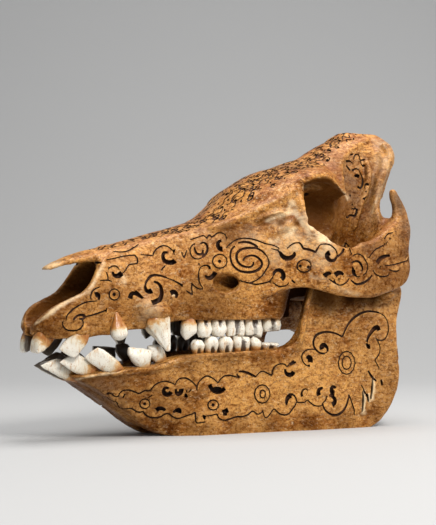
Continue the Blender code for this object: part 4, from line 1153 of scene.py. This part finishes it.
def strokeTree(name):
    # Geometry Nodes: each path becomes a round gouge as thick as its own radius says
    tree = bpy.data.node_groups.new(name, "GeometryNodeTree")
    for word, way, kind in (
        ("Geometry", "INPUT", "Geometry"), ("Sides", "INPUT", "Int"), ("Material", "INPUT", "Material"),
        ("Geometry", "OUTPUT", "Geometry"),
    ):
        tree.interface.new_socket(word, in_out=way, socket_type="NodeSocket" + kind)
    given = tree.nodes.new("NodeGroupInput")
    made = tree.nodes.new("NodeGroupOutput")
    lines = tree.nodes.new("GeometryNodeMeshToCurve")
    radius = tree.nodes.new("GeometryNodeInputNamedAttribute")
    radius.data_type = "FLOAT"
    radius.inputs["Name"].default_value = "gouge"
    profile = tree.nodes.new("GeometryNodeCurvePrimitiveCircle")
    profile.inputs["Radius"].default_value = 1.0
    swept = tree.nodes.new("GeometryNodeCurveToMesh")
    swept.inputs["Fill Caps"].default_value = True
    solid = tree.nodes.new("GeometryNodeRealizeInstances")
    coloured = tree.nodes.new("GeometryNodeSetMaterial")
    for node, output, target, entry in (
        (given, "Geometry", lines, "Mesh"), (given, "Sides", profile, "Resolution"),
        (lines, "Curve", swept, "Curve"), (profile, "Curve", swept, "Profile Curve"),
        (radius, "Attribute", swept, "Scale"), (swept, "Mesh", solid, "Geometry"),
        (solid, "Geometry", coloured, "Geometry"), (given, "Material", coloured, "Material"),
        (coloured, "Geometry", made, "Geometry"),
    ):
        tree.links.new(node.outputs[output], target.inputs[entry])
    return tree


def gouges(paths, material):
    # the paths of one bone, and their mirror images, as solid gouges
    points, edges, radii = [], [], []
    for side in (1, -1):
        for path in paths:
            first = len(points)
            for place, radius in path:
                points.append((place.x * mm, place.y * mm * side, place.z * mm))
                radii.append(radius * mm)
            edges += [(first + i, first + i + 1) for i in range(len(path) - 1)]
    mesh = bpy.data.meshes.new("strokes")
    mesh.from_pydata(points, edges, [])
    noteOn(mesh, "gouge", radii)
    made = addObject("strokes", mesh)
    modifier = made.modifiers.new("Gouges", "NODES")
    modifier.node_group = strokeTree("gougesAlongStrokes")
    items = modifier.node_group.interface.items_tree
    inputs = {item.name: item.identifier for item in items if item.in_out == "INPUT"}
    modifier[inputs["Sides"]] = carving["sides"]
    modifier[inputs["Material"]] = material
    return applied(made)


def carve(made, paths, toothSockets, material, triangles):
    cutter = gouges(paths, material)
    allCuts = joined("cuts", [cutter.data.copy()] + toothSockets)
    bpy.data.objects.remove(cutter)
    remeshed(allCuts, carving["voxel"])
    thinned(allCuts, triangles)
    allCuts.data.materials.clear()
    allCuts.data.materials.append(material)
    made.data.materials.clear()
    cutWith(made, allCuts)
    bpy.data.objects.remove(allCuts)


# finishes: colours are linear, sizes in the patterns are per metre
boneStain = {
    "dark": (0.030, 0.010, 0.003),
    "brown": (0.10, 0.028, 0.004),
    "amber": (0.38, 0.134, 0.016),
    "gold": (0.70, 0.33, 0.07),
    "cream": (0.92, 0.70, 0.41),
    "grey": (0.17, 0.105, 0.06),
    "rust": (0.32, 0.108, 0.036),
    # painted shade: the colour of hollows that lie in shadow
    "paintedShade": (0.105, 0.036, 0.006),
    "roughness": 0.36,
}
jawStain = dict(boneStain, amber=(0.37, 0.134, 0.017), gold=(0.66, 0.32, 0.07), brown=(0.10, 0.030, 0.005))
enamelTones = {
    "tip": (0.82, 0.775, 0.67),
    "body": (0.71, 0.64, 0.495),
    "neck": (0.55, 0.31, 0.11),
    "root": (0.36, 0.13, 0.024),
    # painted shade in the clefts
    "crease": (0.040, 0.018, 0.008),
    # painted shade on the faces turned to the mouth
    "inner": (0.045, 0.026, 0.014),
    "roughness": 0.3,
}
grainTurn = 14  # degrees about Y, by which a stretched pattern is turned


class Finish:
    # a material's nodes, with short words for the ones used again and again
    def __init__(self, name, roughness):
        self.material = bpy.data.materials.new(name)
        self.material.use_nodes = True
        self.nodes = self.material.node_tree.nodes
        self.links = self.material.node_tree.links
        self.shader = self.nodes["Principled BSDF"]
        self.shader.inputs["Roughness"].default_value = roughness
        self.place = self.nodes.new("ShaderNodeTexCoord").outputs["Object"]
        self.base = None  # the colour so far

    def noise(self, scale, detail=4.0, rough=0.55, twist=0.0, stretch=None):
        node = self.nodes.new("ShaderNodeTexNoise")
        given = {"Scale": scale, "Detail": detail, "Roughness": rough, "Distortion": twist}
        for word, value in given.items():
            node.inputs[word].default_value = value
        place = self.place
        if stretch:
            mapping = self.nodes.new("ShaderNodeMapping")
            mapping.inputs["Scale"].default_value = stretch
            mapping.inputs["Rotation"].default_value = (0, math.radians(grainTurn), 0)
            self.links.new(place, mapping.inputs["Vector"])
            place = mapping.outputs["Vector"]
        self.links.new(place, node.inputs["Vector"])
        return node.outputs["Fac"]

    def attribute(self, name):
        node = self.nodes.new("ShaderNodeAttribute")
        node.attribute_name = name
        return node.outputs["Fac"]

    def ramp(self, value, stops):
        node = self.nodes.new("ShaderNodeValToRGB")
        band = node.color_ramp
        while len(band.elements) < len(stops):
            band.elements.new(0.5)
        for element, (place, colour) in zip(band.elements, stops):
            element.position = place
            element.color = (*colour, 1) if isinstance(colour, tuple) else (colour, colour, colour, 1)
        self.links.new(value, node.inputs["Fac"])
        return node.outputs["Color"]

    def put(self, value, socket):
        if isinstance(value, (int, float)):
            socket.default_value = value
        elif isinstance(value, tuple):
            socket.default_value = (*value, 1)
        else:
            self.links.new(value, socket)

    def give(self, name, value):
        self.put(value, self.shader.inputs[name])

    def layer(self, share, colour, kind="MIX"):
        # a colour over what is there
        node = self.nodes.new("ShaderNodeMix")
        node.data_type = "RGBA"
        node.blend_type = kind
        for place, value in ((0, share), (6, self.base), (7, colour)):
            self.put(value, node.inputs[place])
        self.base = node.outputs[2]
        self.give("Base Color", self.base)

    def sum(self, kind, one, two):
        node = self.nodes.new("ShaderNodeMath")
        node.operation = kind
        node.use_clamp = True
        self.put(one, node.inputs[0])
        self.put(two, node.inputs[1])
        return node.outputs[0]

    def zone(self, name, share):
        # a zone's strength, times a share
        return self.sum("MULTIPLY", self.attribute(name), share)

    def relief(self, height, strength, depth, under=None):
        node = self.nodes.new("ShaderNodeBump")
        node.inputs["Strength"].default_value = strength
        node.inputs["Distance"].default_value = depth * mm
        self.links.new(height, node.inputs["Height"])
        if under:
            self.links.new(under, node.inputs["Normal"])
        self.give("Normal", node.outputs["Normal"])
        return node.outputs["Normal"]


# the bone's patterns: size, detail, roughness, distortion and stretch
grain = {
    "clouds": (34, 5, 0.62, 0.6, (0.6, 1, 1)),
    "mottle": (230, 6, 0.72, 0.9, (0.7, 1, 1)),
    "flecks": (520, 5, 0.72, 0.3, (0.8, 1, 1)),
    "streaks": (280, 6, 0.68, 0.9, (0.32, 1, 1)),
    "patches": (130, 5, 0.7, 0.5),
    "glints": (640, 4, 0.65, 0.3, (0.5, 1, 1)),
    "veins": (75, 3, 0.5, 1.6),
    "specks": (1000, 2, 0.5),
    "glow": (170, 5, 0.7, 0.6, (0.45, 1, 1)),
    "gloss": (110, 4),
    "dents": (150, 6, 0.66, 0.5, (0.6, 1, 1)),
}
# where each pattern lays a tone: its stops and the tone, under and over the zones
underStains = (
    ("streaks", ((0.36, 0.75), (0.48, 0)), "brown"),
    ("streaks", ((0.52, 0), (0.64, 0.9)), "gold"),
    ("mottle", ((0.36, 0.6), (0.48, 0)), "brown"),
    # painted glints: small cream flecks in place of sparkles of light
    ("glints", ((0.55, 0), (0.70, 0.5)), "cream"),
)
overStains = (
    ("veins", ((0.485, 0), (0.5, 0.6), (0.515, 0)), "brown"),
    ("specks", ((0.63, 0), (0.72, 0.8)), "dark"),
)


def boneFinish(name, tones):
    finish = Finish(name, tones["roughness"])
    pattern = {word: finish.noise(*sizes) for word, sizes in grain.items()}
    patchy = finish.ramp(pattern["patches"], ((0.38, 0.1), (0.56, 1)))
    clouds = ((0.34, tones["brown"]), (0.44, tones["amber"]), (0.57, tones["gold"]), (0.70, tones["amber"]))
    finish.base = finish.ramp(pattern["clouds"], clouds)
    for word, stops, tone in underStains:
        finish.layer(finish.ramp(pattern[word], stops), tones[tone])
    # zones: brown stain with painted shade, rust, grey, and wear with painted highlights
    for zone, share, tone in (
        ("umberAndShade", 0.9, "brown"), ("rust", patchy, "rust"), ("grey", patchy, "grey"), ("wornAndHighlit", patchy, "gold"),
    ):
        finish.layer(finish.zone(zone, share), tones[tone])
    for word, stops, tone in overStains:
        finish.layer(finish.ramp(pattern[word], stops), tones[tone])
    finish.layer(0.9, finish.ramp(pattern["flecks"], ((0.36, (0.42, 0.28, 0.18)), (0.52, 1))), "MULTIPLY")
    # pale bone and painted highlights, in patches
    finish.layer(finish.zone("paleAndHighlight", finish.ramp(pattern["glow"], ((0.40, 0.2), (0.55, 1)))), tones["cream"])
    # raw bone in cream; painted shade in the hollows and in the recesses
    for zone, tone in (("raw", "cream"), ("shade", "paintedShade"), ("recessShade", "dark")):
        finish.layer(finish.attribute(zone), tones[tone])
    finish.give("Specular IOR Level", 0.3)
    finish.give("Specular IOR Level", finish.ramp(finish.base, ((0.03, 0), (0.25, 0.36))))
    gloss = ((0.35, tones["roughness"] - 0.08), (0.7, tones["roughness"] + 0.2))
    finish.give("Roughness", finish.ramp(pattern["gloss"], gloss))
    finish.relief(pattern["flecks"], 0.7, 0.4, finish.relief(pattern["dents"], 0.85, 1.1))
    return finish.material


def carvedStainFinish(name, tones):
    finish = Finish(name, 0.6)
    finish.give("Specular IOR Level", 0.2)
    rust = np.array(tones["rust"])
    finish.base = finish.ramp(finish.noise(240, 4), ((0.35, tones["dark"]), (0.65, tuple(rust * 0.45))))
    # painted shade, deeper in the carving
    finish.layer(finish.attribute("recessShade"), tuple(np.array(tones["dark"]) * 0.4))
    finish.layer(finish.zone("rust", 0.8), tuple(rust * 0.4))
    finish.layer(finish.attribute("raw"), tones["cream"])
    finish.relief(finish.noise(700, 3), 0.4, 0.2)
    return finish.material


def enamelFinish(name, tones):
    finish = Finish(name, tones["roughness"])
    wander = finish.sum("MULTIPLY", finish.noise(330, 5, 0.7, 0.4), 0.5)
    bands = ((0.20, tones["root"]), (0.36, tones["neck"]), (0.5, tones["body"]), (0.85, tones["tip"]))
    finish.base = finish.ramp(finish.sum("ADD", finish.attribute("crown"), wander), bands)
    streaks = finish.noise(480, 5, 0.68, 0.3, (1, 1, 0.25))
    finish.layer(finish.ramp(streaks, ((0.52, 0), (0.66, 0.75))), tones["neck"])
    finish.layer(finish.ramp(finish.noise(900, 3, 0.6), ((0.60, 0), (0.70, 0.75))), tones["root"])
    # painted shade in the clefts between lobes and in dents
    wander = finish.sum("SUBTRACT", finish.noise(420, 4, 0.65), 0.55)
    crease = finish.sum("ADD", finish.attribute("crease"), wander)
    finish.layer(finish.ramp(crease, ((0.30, 0), (0.60, 0.92))), tones["crease"])
    # painted shade on the faces turned to the mouth
    finish.layer(finish.zone("inner", 0.93), tones["inner"])
    finish.relief(finish.noise(420, 5, 0.68), 0.5, 0.3)
    return finish.material


boneMaterial = boneFinish("agedAmberBone", boneStain)
jawMaterial = boneFinish("agedBrownJawbone", jawStain)
carvedMaterial = carvedStainFinish("darkStainInCarving", boneStain)
enamelMaterial = enamelFinish("ivoryEnamel", enamelTones)
print("finishes made")


# where the bone is paler, browner, darker or greyer than the rest, in part through painted shade and painted
# highlights: x, y, z, reach in mm, strength
zones = {
    # pale bone, partly painted highlights on the cheek's ridges, the eye socket's rim and the crest
    "paleAndHighlight": (
        (30, 42, 156, 6, 0.4), (37, 43, 146, 6, 0.5), (52, 46, 155, 5, 0.5), (58, 49, 147, 8, 0.8),
        (66, 53, 139, 8, 0.9), (45, 44, 135, 8, 0.5), (30, 41, 128, 8, 0.25), (12, 34, 140, 8, 0.2),
        (158, 20, 215, 12, 0.2), (150, 29, 203, 9, 0.15), (-136, 5, 119, 7, 0.5), (-72, 27, 86, 7, 0.3),
        (60, 52, 128, 9, 0.4),
    ),
    # brown stain, with painted shade under the cheek arch and along the underside of the lower jaw
    "umberAndShade": (
        (-140, 12, 84, 26, 0.75), (-118, 20, 82, 28, 0.55), (-96, 21, 92, 26, 0.45),
        (-66, 24, 92, 24, 0.35), (-30, 29, 92, 30, 0.5), (-40, 27, 120, 20, 0.3), (112, 57, 118, 26, 0.8),
        (140, 54, 120, 24, 0.8), (96, 45, 88, 34, 0.4), (84, 40, 70, 20, 0.3), (-104, 16, 36, 34, 0.8),
        (-72, 18, 24, 30, 0.55), (128, 46, 40, 26, 0.4), (106, 28, 178, 26, 0.75),
        (118, 28, 150, 24, 0.7), (140, 48, 20, 24, 0.5), (120, 50, 102, 22, 0.45),
        (138, 49, 100, 14, 0.5), (40, 36, 160, 9, 0.4), (24, 36, 148, 6, 0.5), (44, 30, 92, 13, 0.5),
        (146, 50, 174, 13, 0.8), (140, 54, 140, 20, 0.35), (150, 22, 190, 24, 0.3),
        (-52, 20, 14, 13, 0.6), (-28, 24, 5, 13, 0.7), (0, 27, 3, 13, 0.7), (28, 32, 2, 13, 0.7),
        (58, 38, 2, 13, 0.7), (88, 42, 3, 13, 0.7), (118, 46, 10, 14, 0.6), (122, 47, 62, 15, 0.4),
        (-95, 19, 43, 10, 0.5), (-70, 24, 46, 12, 0.5), (-40, 27, 52, 12, 0.55), (-10, 32, 54, 12, 0.55),
        (20, 37, 56, 12, 0.55), (45, 40, 60, 10, 0.45), (84, 55, 122, 16, 0.45),
    ),
    "raw": (),  # only along lines
    # wear, partly painted highlights, on the forehead's edge and along the lower jaw
    "wornAndHighlit": (
        (-4, 34, 127, 13, 0.6), (18, 40, 131, 13, 0.6), (-30, 30, 132, 12, 0.4), (-46, 28, 28, 15, 0.4),
        (-14, 30, 27, 15, 0.45), (16, 33, 26, 15, 0.45), (44, 38, 30, 15, 0.4), (70, 43, 34, 15, 0.3),
    ),
    "grey": (
        (138, 49, 172, 12, 0.8), (148, 52, 150, 13, 0.7), (100, 57, 138, 12, 0.4),
        (124, 28, 186, 22, 0.5), (128, 40, 165, 12, 0.4), (-22, 29, 140, 12, 0.5), (-8, 30, 142, 10, 0.5),
        (140, 33, 182, 12, 0.6), (-110, 14, 30, 20, 0.5), (152, 54, 132, 10, 0.6),
    ),
    # painted shade: in the eye socket, the nasal cavity, the throat and behind the palate
    "shade": (
        (76, 16, 160, 27, 0.95), (60, 20, 150, 17, 0.95), (92, 30, 168, 15, 0.8), (80, 24, 142, 14, 0.7),
        (64, 40, 126, 12, 0.5), (-4, 31, 143, 7, 0.6), (8, 34, 148, 6, 0.55), (20, 37, 154, 5, 0.5),
        (33, 42, 151, 3.5, 0.9), (44.5, 45, 151, 3.5, 0.9), (-140, 0, 94, 12, 1), (-128, 0, 98, 14, 1),
        (-114, 0, 100, 15, 1), (-100, 0, 103, 15, 1), (-84, 0, 106, 13, 1), (-66, 0, 108, 12, 1),
        (-126, 0, 88, 11, 0.9), (60, 20, 108, 20, 0.9), (84, 20, 108, 20, 0.9), (100, 36, 104, 12, 0.7),
        (76, 42, 100, 12, 0.8), (46, 33, 92, 10, 0.85), (46, 33, 102, 9, 0.75), (52, 20, 92, 12, 1),
        (54, 24, 104, 12, 1), (50, 10, 86, 14, 1),
    ),
    # painted shade, darkest: in the throat, the nasal cavity, over the palate and under the cheek arch
    "recessShade": (
        (56, 22, 98, 16, 1), (52, 14, 88, 12, 0.95), (74, 26, 102, 20, 1), (92, 30, 102, 16, 0.85),
        (49, 36, 90, 8, 0.7), (62, 34, 112, 12, 0.8), (104, 34, 108, 14, 0.8), (63, 13, 86, 9, 1),
        (63, 13, 97, 10, 1), (54, 12, 83, 9, 1), (64, 12, 104, 9, 1), (30, 20, 86, 10, 0.8),
        (-60, 0, 80, 26, 0.8), (-20, 0, 84, 30, 0.8), (-134, 0, 88, 12, 0.9), (-118, 0, 92, 16, 0.9),
        (98, 42, 99, 9, 1), (108, 42, 100, 9, 1), (118, 43, 100, 9, 1), (-98, 0, 98, 16, 0.8),
        (-78, 0, 104, 16, 0.8),
    ),
}
# lines paler or darker than the bone, in part painted highlights and painted shade: zone, half-width in mm,
# strength, corners in the photograph
tintLines = (
    ("paleAndHighlight", 0.9, 0.8, ((74, 380.5), (83, 378), (95, 375.7), (105, 374), (118, 371.8))),
    ("paleAndHighlight", 1.8, 0.8, ((292, 202), (296, 212), (303, 224), (313, 234), (321, 241))),
    ("paleAndHighlight", 1.8, 0.9, ((268, 221), (277, 216.5), (285, 214), (291, 211))),
    ("paleAndHighlight", 2.2, 0.95, ((272, 241), (280, 238), (288, 233), (294, 229))),
    ("paleAndHighlight", 1.4, 0.7, ((104, 264), (98, 274), (91, 288), (80, 295), (70, 300), (60, 305.5), (50, 312))),
    ("paleAndHighlight", 1.3, 0.7, ((36, 323), (44, 317), (52, 312), (58, 307))),
    ("paleAndHighlight", 1.4, 0.6, ((120, 273.5), (123, 277), (124, 283))),
    ("paleAndHighlight", 1.6, 0.35, ((386, 158), (388, 172), (383, 187), (377, 201), (373, 212))),
    ("paleAndHighlight", 1.6, 0.3, ((375, 140), (385, 147), (392, 157))),
    ("paleAndHighlight", 1.2, 0.6, ((303, 188), (312, 183.5), (324, 182.5), (336, 186), (344, 193), (349, 200))),
    ("paleAndHighlight", 1.4, 0.4, ((138, 306), (146, 307), (152, 312))),
    ("raw", 0.9, 0.9, ((173, 295), (175.2, 295.3))),
    ("paleAndHighlight", 1.6, 0.35, ((311, 278), (322, 279), (333, 284), (345, 291), (358, 294))),
    ("paleAndHighlight", 2, 0.1, ((243, 213), (258, 206.5), (272, 201), (286, 197), (299, 194.5))),
    ("raw", 1.3, 0.9, ((373.4, 379), (373, 388), (371.8, 399))),
    ("raw", 1.3, 0.9, ((363.8, 392), (364, 401), (363.2, 411))),
    ("raw", 0.9, 0.8, ((368.2, 394), (369.4, 401))),
    ("shade", 2, 0.6, ((262, 224), (270, 221.5), (279, 219.5), (287, 219))),
    ("shade", 1.6, 0.5, ((293, 205), (298, 216), (306, 227), (315, 236))),
    ("shade", 1.4, 0.6, ((391, 163), (387, 178), (380, 194), (377, 206))),
    ("shade", 1.4, 0.5, ((379, 150), (381, 166), (376, 182), (370, 198), (366, 214))),
    ("shade", 1.5, 0.5, ((228, 233), (240, 227), (252, 222.5), (264, 219))),
    ("shade", 1.3, 0.6, ((77, 384), (92, 380.5), (108, 378), (122, 376))),
    ("shade", 1.8, 0.6, ((178, 322.5), (200, 320.5), (240, 320), (270, 318))),
    ("shade", 1.6, 0.6, ((186, 358), (210, 356), (240, 355), (262, 353))),
    ("shade", 1.6, 0.5, ((45, 329), (62, 334), (80, 336), (104, 334), (112, 328))),
    ("shade", 1.5, 0.6, ((397, 203), (402, 215), (404, 230), (403, 245))),
)


def neighbours(mesh):
    ends = np.empty(len(mesh.edges) * 2, np.int32)
    mesh.edges.foreach_get("vertices", ends)
    return ends.reshape(-1, 2)


def spread(values, ends, turns):
    # each point's value drawn towards its neighbours'
    count = np.bincount(ends.reshape(-1), minlength=len(values))
    for _ in range(turns):
        around = np.bincount(ends[:, 0], values[ends[:, 1]], len(values))
        around += np.bincount(ends[:, 1], values[ends[:, 0]], len(values))
        values = 0.4 * values + 0.6 * around / np.maximum(count, 1)
    return values


def shutIn(skin, points, normals, reach, count):
    # how much of what a point faces is bone, within a reach in mm
    rng = np.random.default_rng(7)
    aims = rng.normal(size=(count, 3))
    aims /= np.linalg.norm(aims, axis=1)[:, None]
    aims = [Vector(aim) for aim in aims]
    shut = np.zeros(len(points))
    for i, (point, normal) in enumerate(zip(points, normals)):
        start = Vector(point + normal * 0.15)
        outward = Vector(normal)
        for aim in aims:
            lean = aim.dot(outward)
            far = skin.ray_cast(start, aim if lean > 0 else -aim, reach)[3]
            if far is not None:
                shut[i] += abs(lean) * (1 - far / reach)
    return shut / (count / 2)


def tintPoints():
    # where the tinted lines lie on the bones
    found = []
    for zone, wide, strength, corners in tintLines:
        hits = [onBone(eye, sightLine(camera, u, v)) for u, v in curved(corners, 6, closed=False)]
        places = [hit[1] for hit in hits if hit is not None and hit[1].y < carving["farSide"]]
        tree = KDTree(len(places))
        for i, place in enumerate(places):
            tree.insert(place, i)
        tree.balance()
        found.append((zone, wide, strength, tree))
    return found


# how what is measured on a bone becomes a zone's strength: gain, what is taken off, the most it can be
reading = {
    "recessShade": (2.4, 0.36, 0.95),
    "wornAndHighlit": (2.4, 0.18, 0.8),
    "inward": (1.6, 0.3, 1),
    "deep": (2.6, 0.884, 0.95),
    "hidden": (4, 0.48, 1),
    "under": (1.8, 0.2, 1),
    "rust": (3, 1.5, 0.55),
    "toothInner": (2, 0.1, 1),
}


# how far a point looks round itself in mm, in how many directions, and how often that is evened out
looking = {"near": (14.0, 16, 1), "far": (60.0, 8, 6)}
socketRoof = {"x": 72, "reach": 30, "above": 158}  # mm, the shaded roof of the eye socket
rustyRoof = {"from": -110, "full": -80, "above": 120}  # mm, where the roof is redder
sharpest = 50  # degrees, an edge that stays sharp


def read(name, values):
    gain, less, most = reading[name]
    return np.clip(values * gain - less, 0, most)


def bendOf(points, normals, ends):
    # how sharply the surface bends outwards at each point
    step = points[ends[:, 1]] - points[ends[:, 0]]
    size = np.maximum((step**2).sum(1), 1e-4)
    rise = ((normals[ends[:, 1]] - normals[ends[:, 0]]) * step).sum(1) / size
    count = np.maximum(np.bincount(ends.reshape(-1), minlength=len(points)), 1)
    bend = (np.bincount(ends[:, 0], rise, len(points)) + np.bincount(ends[:, 1], rise, len(points))) / count
    return spread(np.clip(bend, -1.5, 1.5), ends, 2)


def noteRelief(made, kind):
    # writes on the bone its painted shade in recesses and hollows, its wear and painted highlights on outward
    # bends, and the zone of each point
    points, normals = pointsOf(made.data), normalsOf(made.data)
    ends = neighbours(made.data)
    skin = skinOf(made)
    # painted shade: how much bone each point faces, near and far
    shut, deep = (spread(shutIn(skin, points, normals, reach, count), ends, turns)
                  for reach, count, turns in looking.values())
    noted = {"recessShade": read("recessShade", shut), "wornAndHighlit": read("wornAndHighlit", bendOf(points, normals, ends))}
    x, y, z = points.T
    for zone, spots in zones.items():
        value = np.zeros(len(points))
        for middleX, middleY, middleZ, wide, strength in spots:
            far = np.sqrt((x - middleX)**2 + (abs(y) - middleY)**2 + (z - middleZ)**2)
            value = np.maximum(value, strength * np.clip(1.5 - far / wide, 0, 1))
        noted[zone] = np.maximum(noted.get(zone, 0), value)
    for zone, wide, strength, tree in tintPoints():
        for i, point in enumerate(points):
            near = tree.find((point[0], -abs(point[1]), point[2]))[2]
            if near is not None and near < wide * 1.4:
                noted[zone][i] = max(noted[zone][i], strength * min(1.0, 1.4 - near / wide))
    # painted shade on faces turned towards the middle, and deep inside hollows
    inward = read("inward", -normals[:, 1] * np.sign(y))
    paintedShade = read("deep", deep) * (0.35 + 0.65 * inward)
    noted["shade"] = np.clip(np.maximum(noted["shade"], paintedShade), 0, 1)
    noted["shade"] = np.maximum(noted["shade"], 0.8 * inward * read("hidden", deep))
    noted["rust"] = np.zeros(len(points))
    if kind == "cranium":
        # painted shade under the roof of the eye socket
        inSocket = (abs(x - socketRoof["x"]) < socketRoof["reach"]) * (z > socketRoof["above"])
        noted["shade"] = np.maximum(noted["shade"], 0.85 * read("under", -normals[:, 2]) * inSocket)
        along = ease(x, rustyRoof["from"], rustyRoof["full"])
        noted["rust"] = read("rust", normals[:, 2]) * along * (z > rustyRoof["above"])
    for name, values in noted.items():
        noteOn(made.data, name, values)
    print(kind, "relief noted:", {name: round(float(values.mean()), 3) for name, values in noted.items()})


def settled(made, node):
    # into the frame's place, and in the CAD node's stead
    moved(made.data, lambda points: points - (drawing["middleX"], 0, drawing["base"]))
    made.data.shade_smooth()
    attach(made, "root")
    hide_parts(node)


for made, name, material, slot, row in (
    (skull, "cranium", boneMaterial, "stained_bone", "upper"),
    (mandible, "mandible", jawMaterial, "stained_jawbone", "lower"),
):
    carve(made, strokes[name], sockets[row], carvedMaterial, carving["triangles"][name])
    made.data.materials[0] = material
    noteRelief(made, name)
    made.data.set_sharp_from_angle(angle=math.radians(sharpest))
    settled(made, name)
    made.name = name + "Bone"
    print(name, "carved:", len(made.data.polygons), "faces")

for node, (mesh, shares, creaseShade) in toothMeshes.items():
    made = addObject("tooth_" + node, mesh)
    noteOn(mesh, "crown", shares)
    noteOn(mesh, "crease", creaseShade)
    # painted shade on the faces turned to the mouth
    noteOn(mesh, "inner", read("toothInner", -normalsOf(mesh)[:, 1] * np.sign(pointsOf(mesh)[:, 1])))
    mesh.materials.append(enamelMaterial)
    settled(made, node)
print("teeth set")


# a pale floor that rises behind the skull, and soft light from above and in front
stage = {
    "front": -1.6,  # m
    "back": 1.5,
    "halfWidth": 3.2,
    "height": 2.2,
    "bend": 0.9,
    "steps": 14,
    "colour": (0.46, 0.465, 0.47),
    "roughness": 0.85,
}
# place, size in m, power in W, colour; all look at the middle of the skull
lights = {
    "key": ((-0.2, -1.0, 1.0), (0.45, 0.4), 14, (1.0, 0.96, 0.91)),
    "top": ((0.2, -0.1, 1.3), (0.9, 0.8), 15.5, (1.0, 0.98, 0.95)),
    "side": ((0.9, -0.7, 0.6), (0.6, 0.6), 4, (1.0, 0.97, 0.93)),
}
lit = (0, 0, 0.1)  # m
sky = {"Color": (0.9, 0.92, 0.95, 1), "Strength": 0.36}


def makeStage(spec):
    foot, bend = spec["back"] - spec["bend"], spec["bend"]
    profile = [(spec["front"], 0.0), (0.0, 0.0), (foot, 0.0)]
    for a in np.linspace(0, math.pi / 2, spec["steps"])[1:]:
        profile.append((foot + bend * math.sin(a), bend * (1 - math.cos(a))))
    profile.append((spec["back"], spec["height"]))
    turned = Matrix.Rotation(-math.radians(camera["turn"]), 3, "Z")
    sides = (-spec["halfWidth"], spec["halfWidth"])
    points = [tuple(turned @ Vector((x, y, z))) for y, z in profile for x in sides]
    faces = [(2 * i, 2 * i + 1, 2 * i + 3, 2 * i + 2) for i in range(len(profile) - 1)]
    mesh = bpy.data.meshes.new("floor")
    mesh.from_pydata(points, [], faces)
    mesh.shade_smooth()
    finish = Finish("paleFloor", spec["roughness"])
    finish.give("Base Color", spec["colour"])
    mesh.materials.append(finish.material)
    made = addObject("floor", mesh)


def areaLight(name, place, size, power, colour):
    data = bpy.data.lights.new(name, "AREA")
    data.shape = "RECTANGLE"
    data.size, data.size_y = size
    data.energy = power
    data.color = colour
    made = addObject(name, data)
    made.location = place
    made.rotation_euler = (Vector(lit) - Vector(place)).to_track_quat("-Z", "Y").to_euler()


makeStage(stage)
for name, sizes in lights.items():
    areaLight(name, *sizes)
scene.world = bpy.data.worlds.new("studio")
scene.world.use_nodes = True
for name, value in sky.items():
    scene.world.node_tree.nodes["Background"].inputs[name].default_value = value
scene.view_settings.view_transform = "Standard"
print("stage and light set")
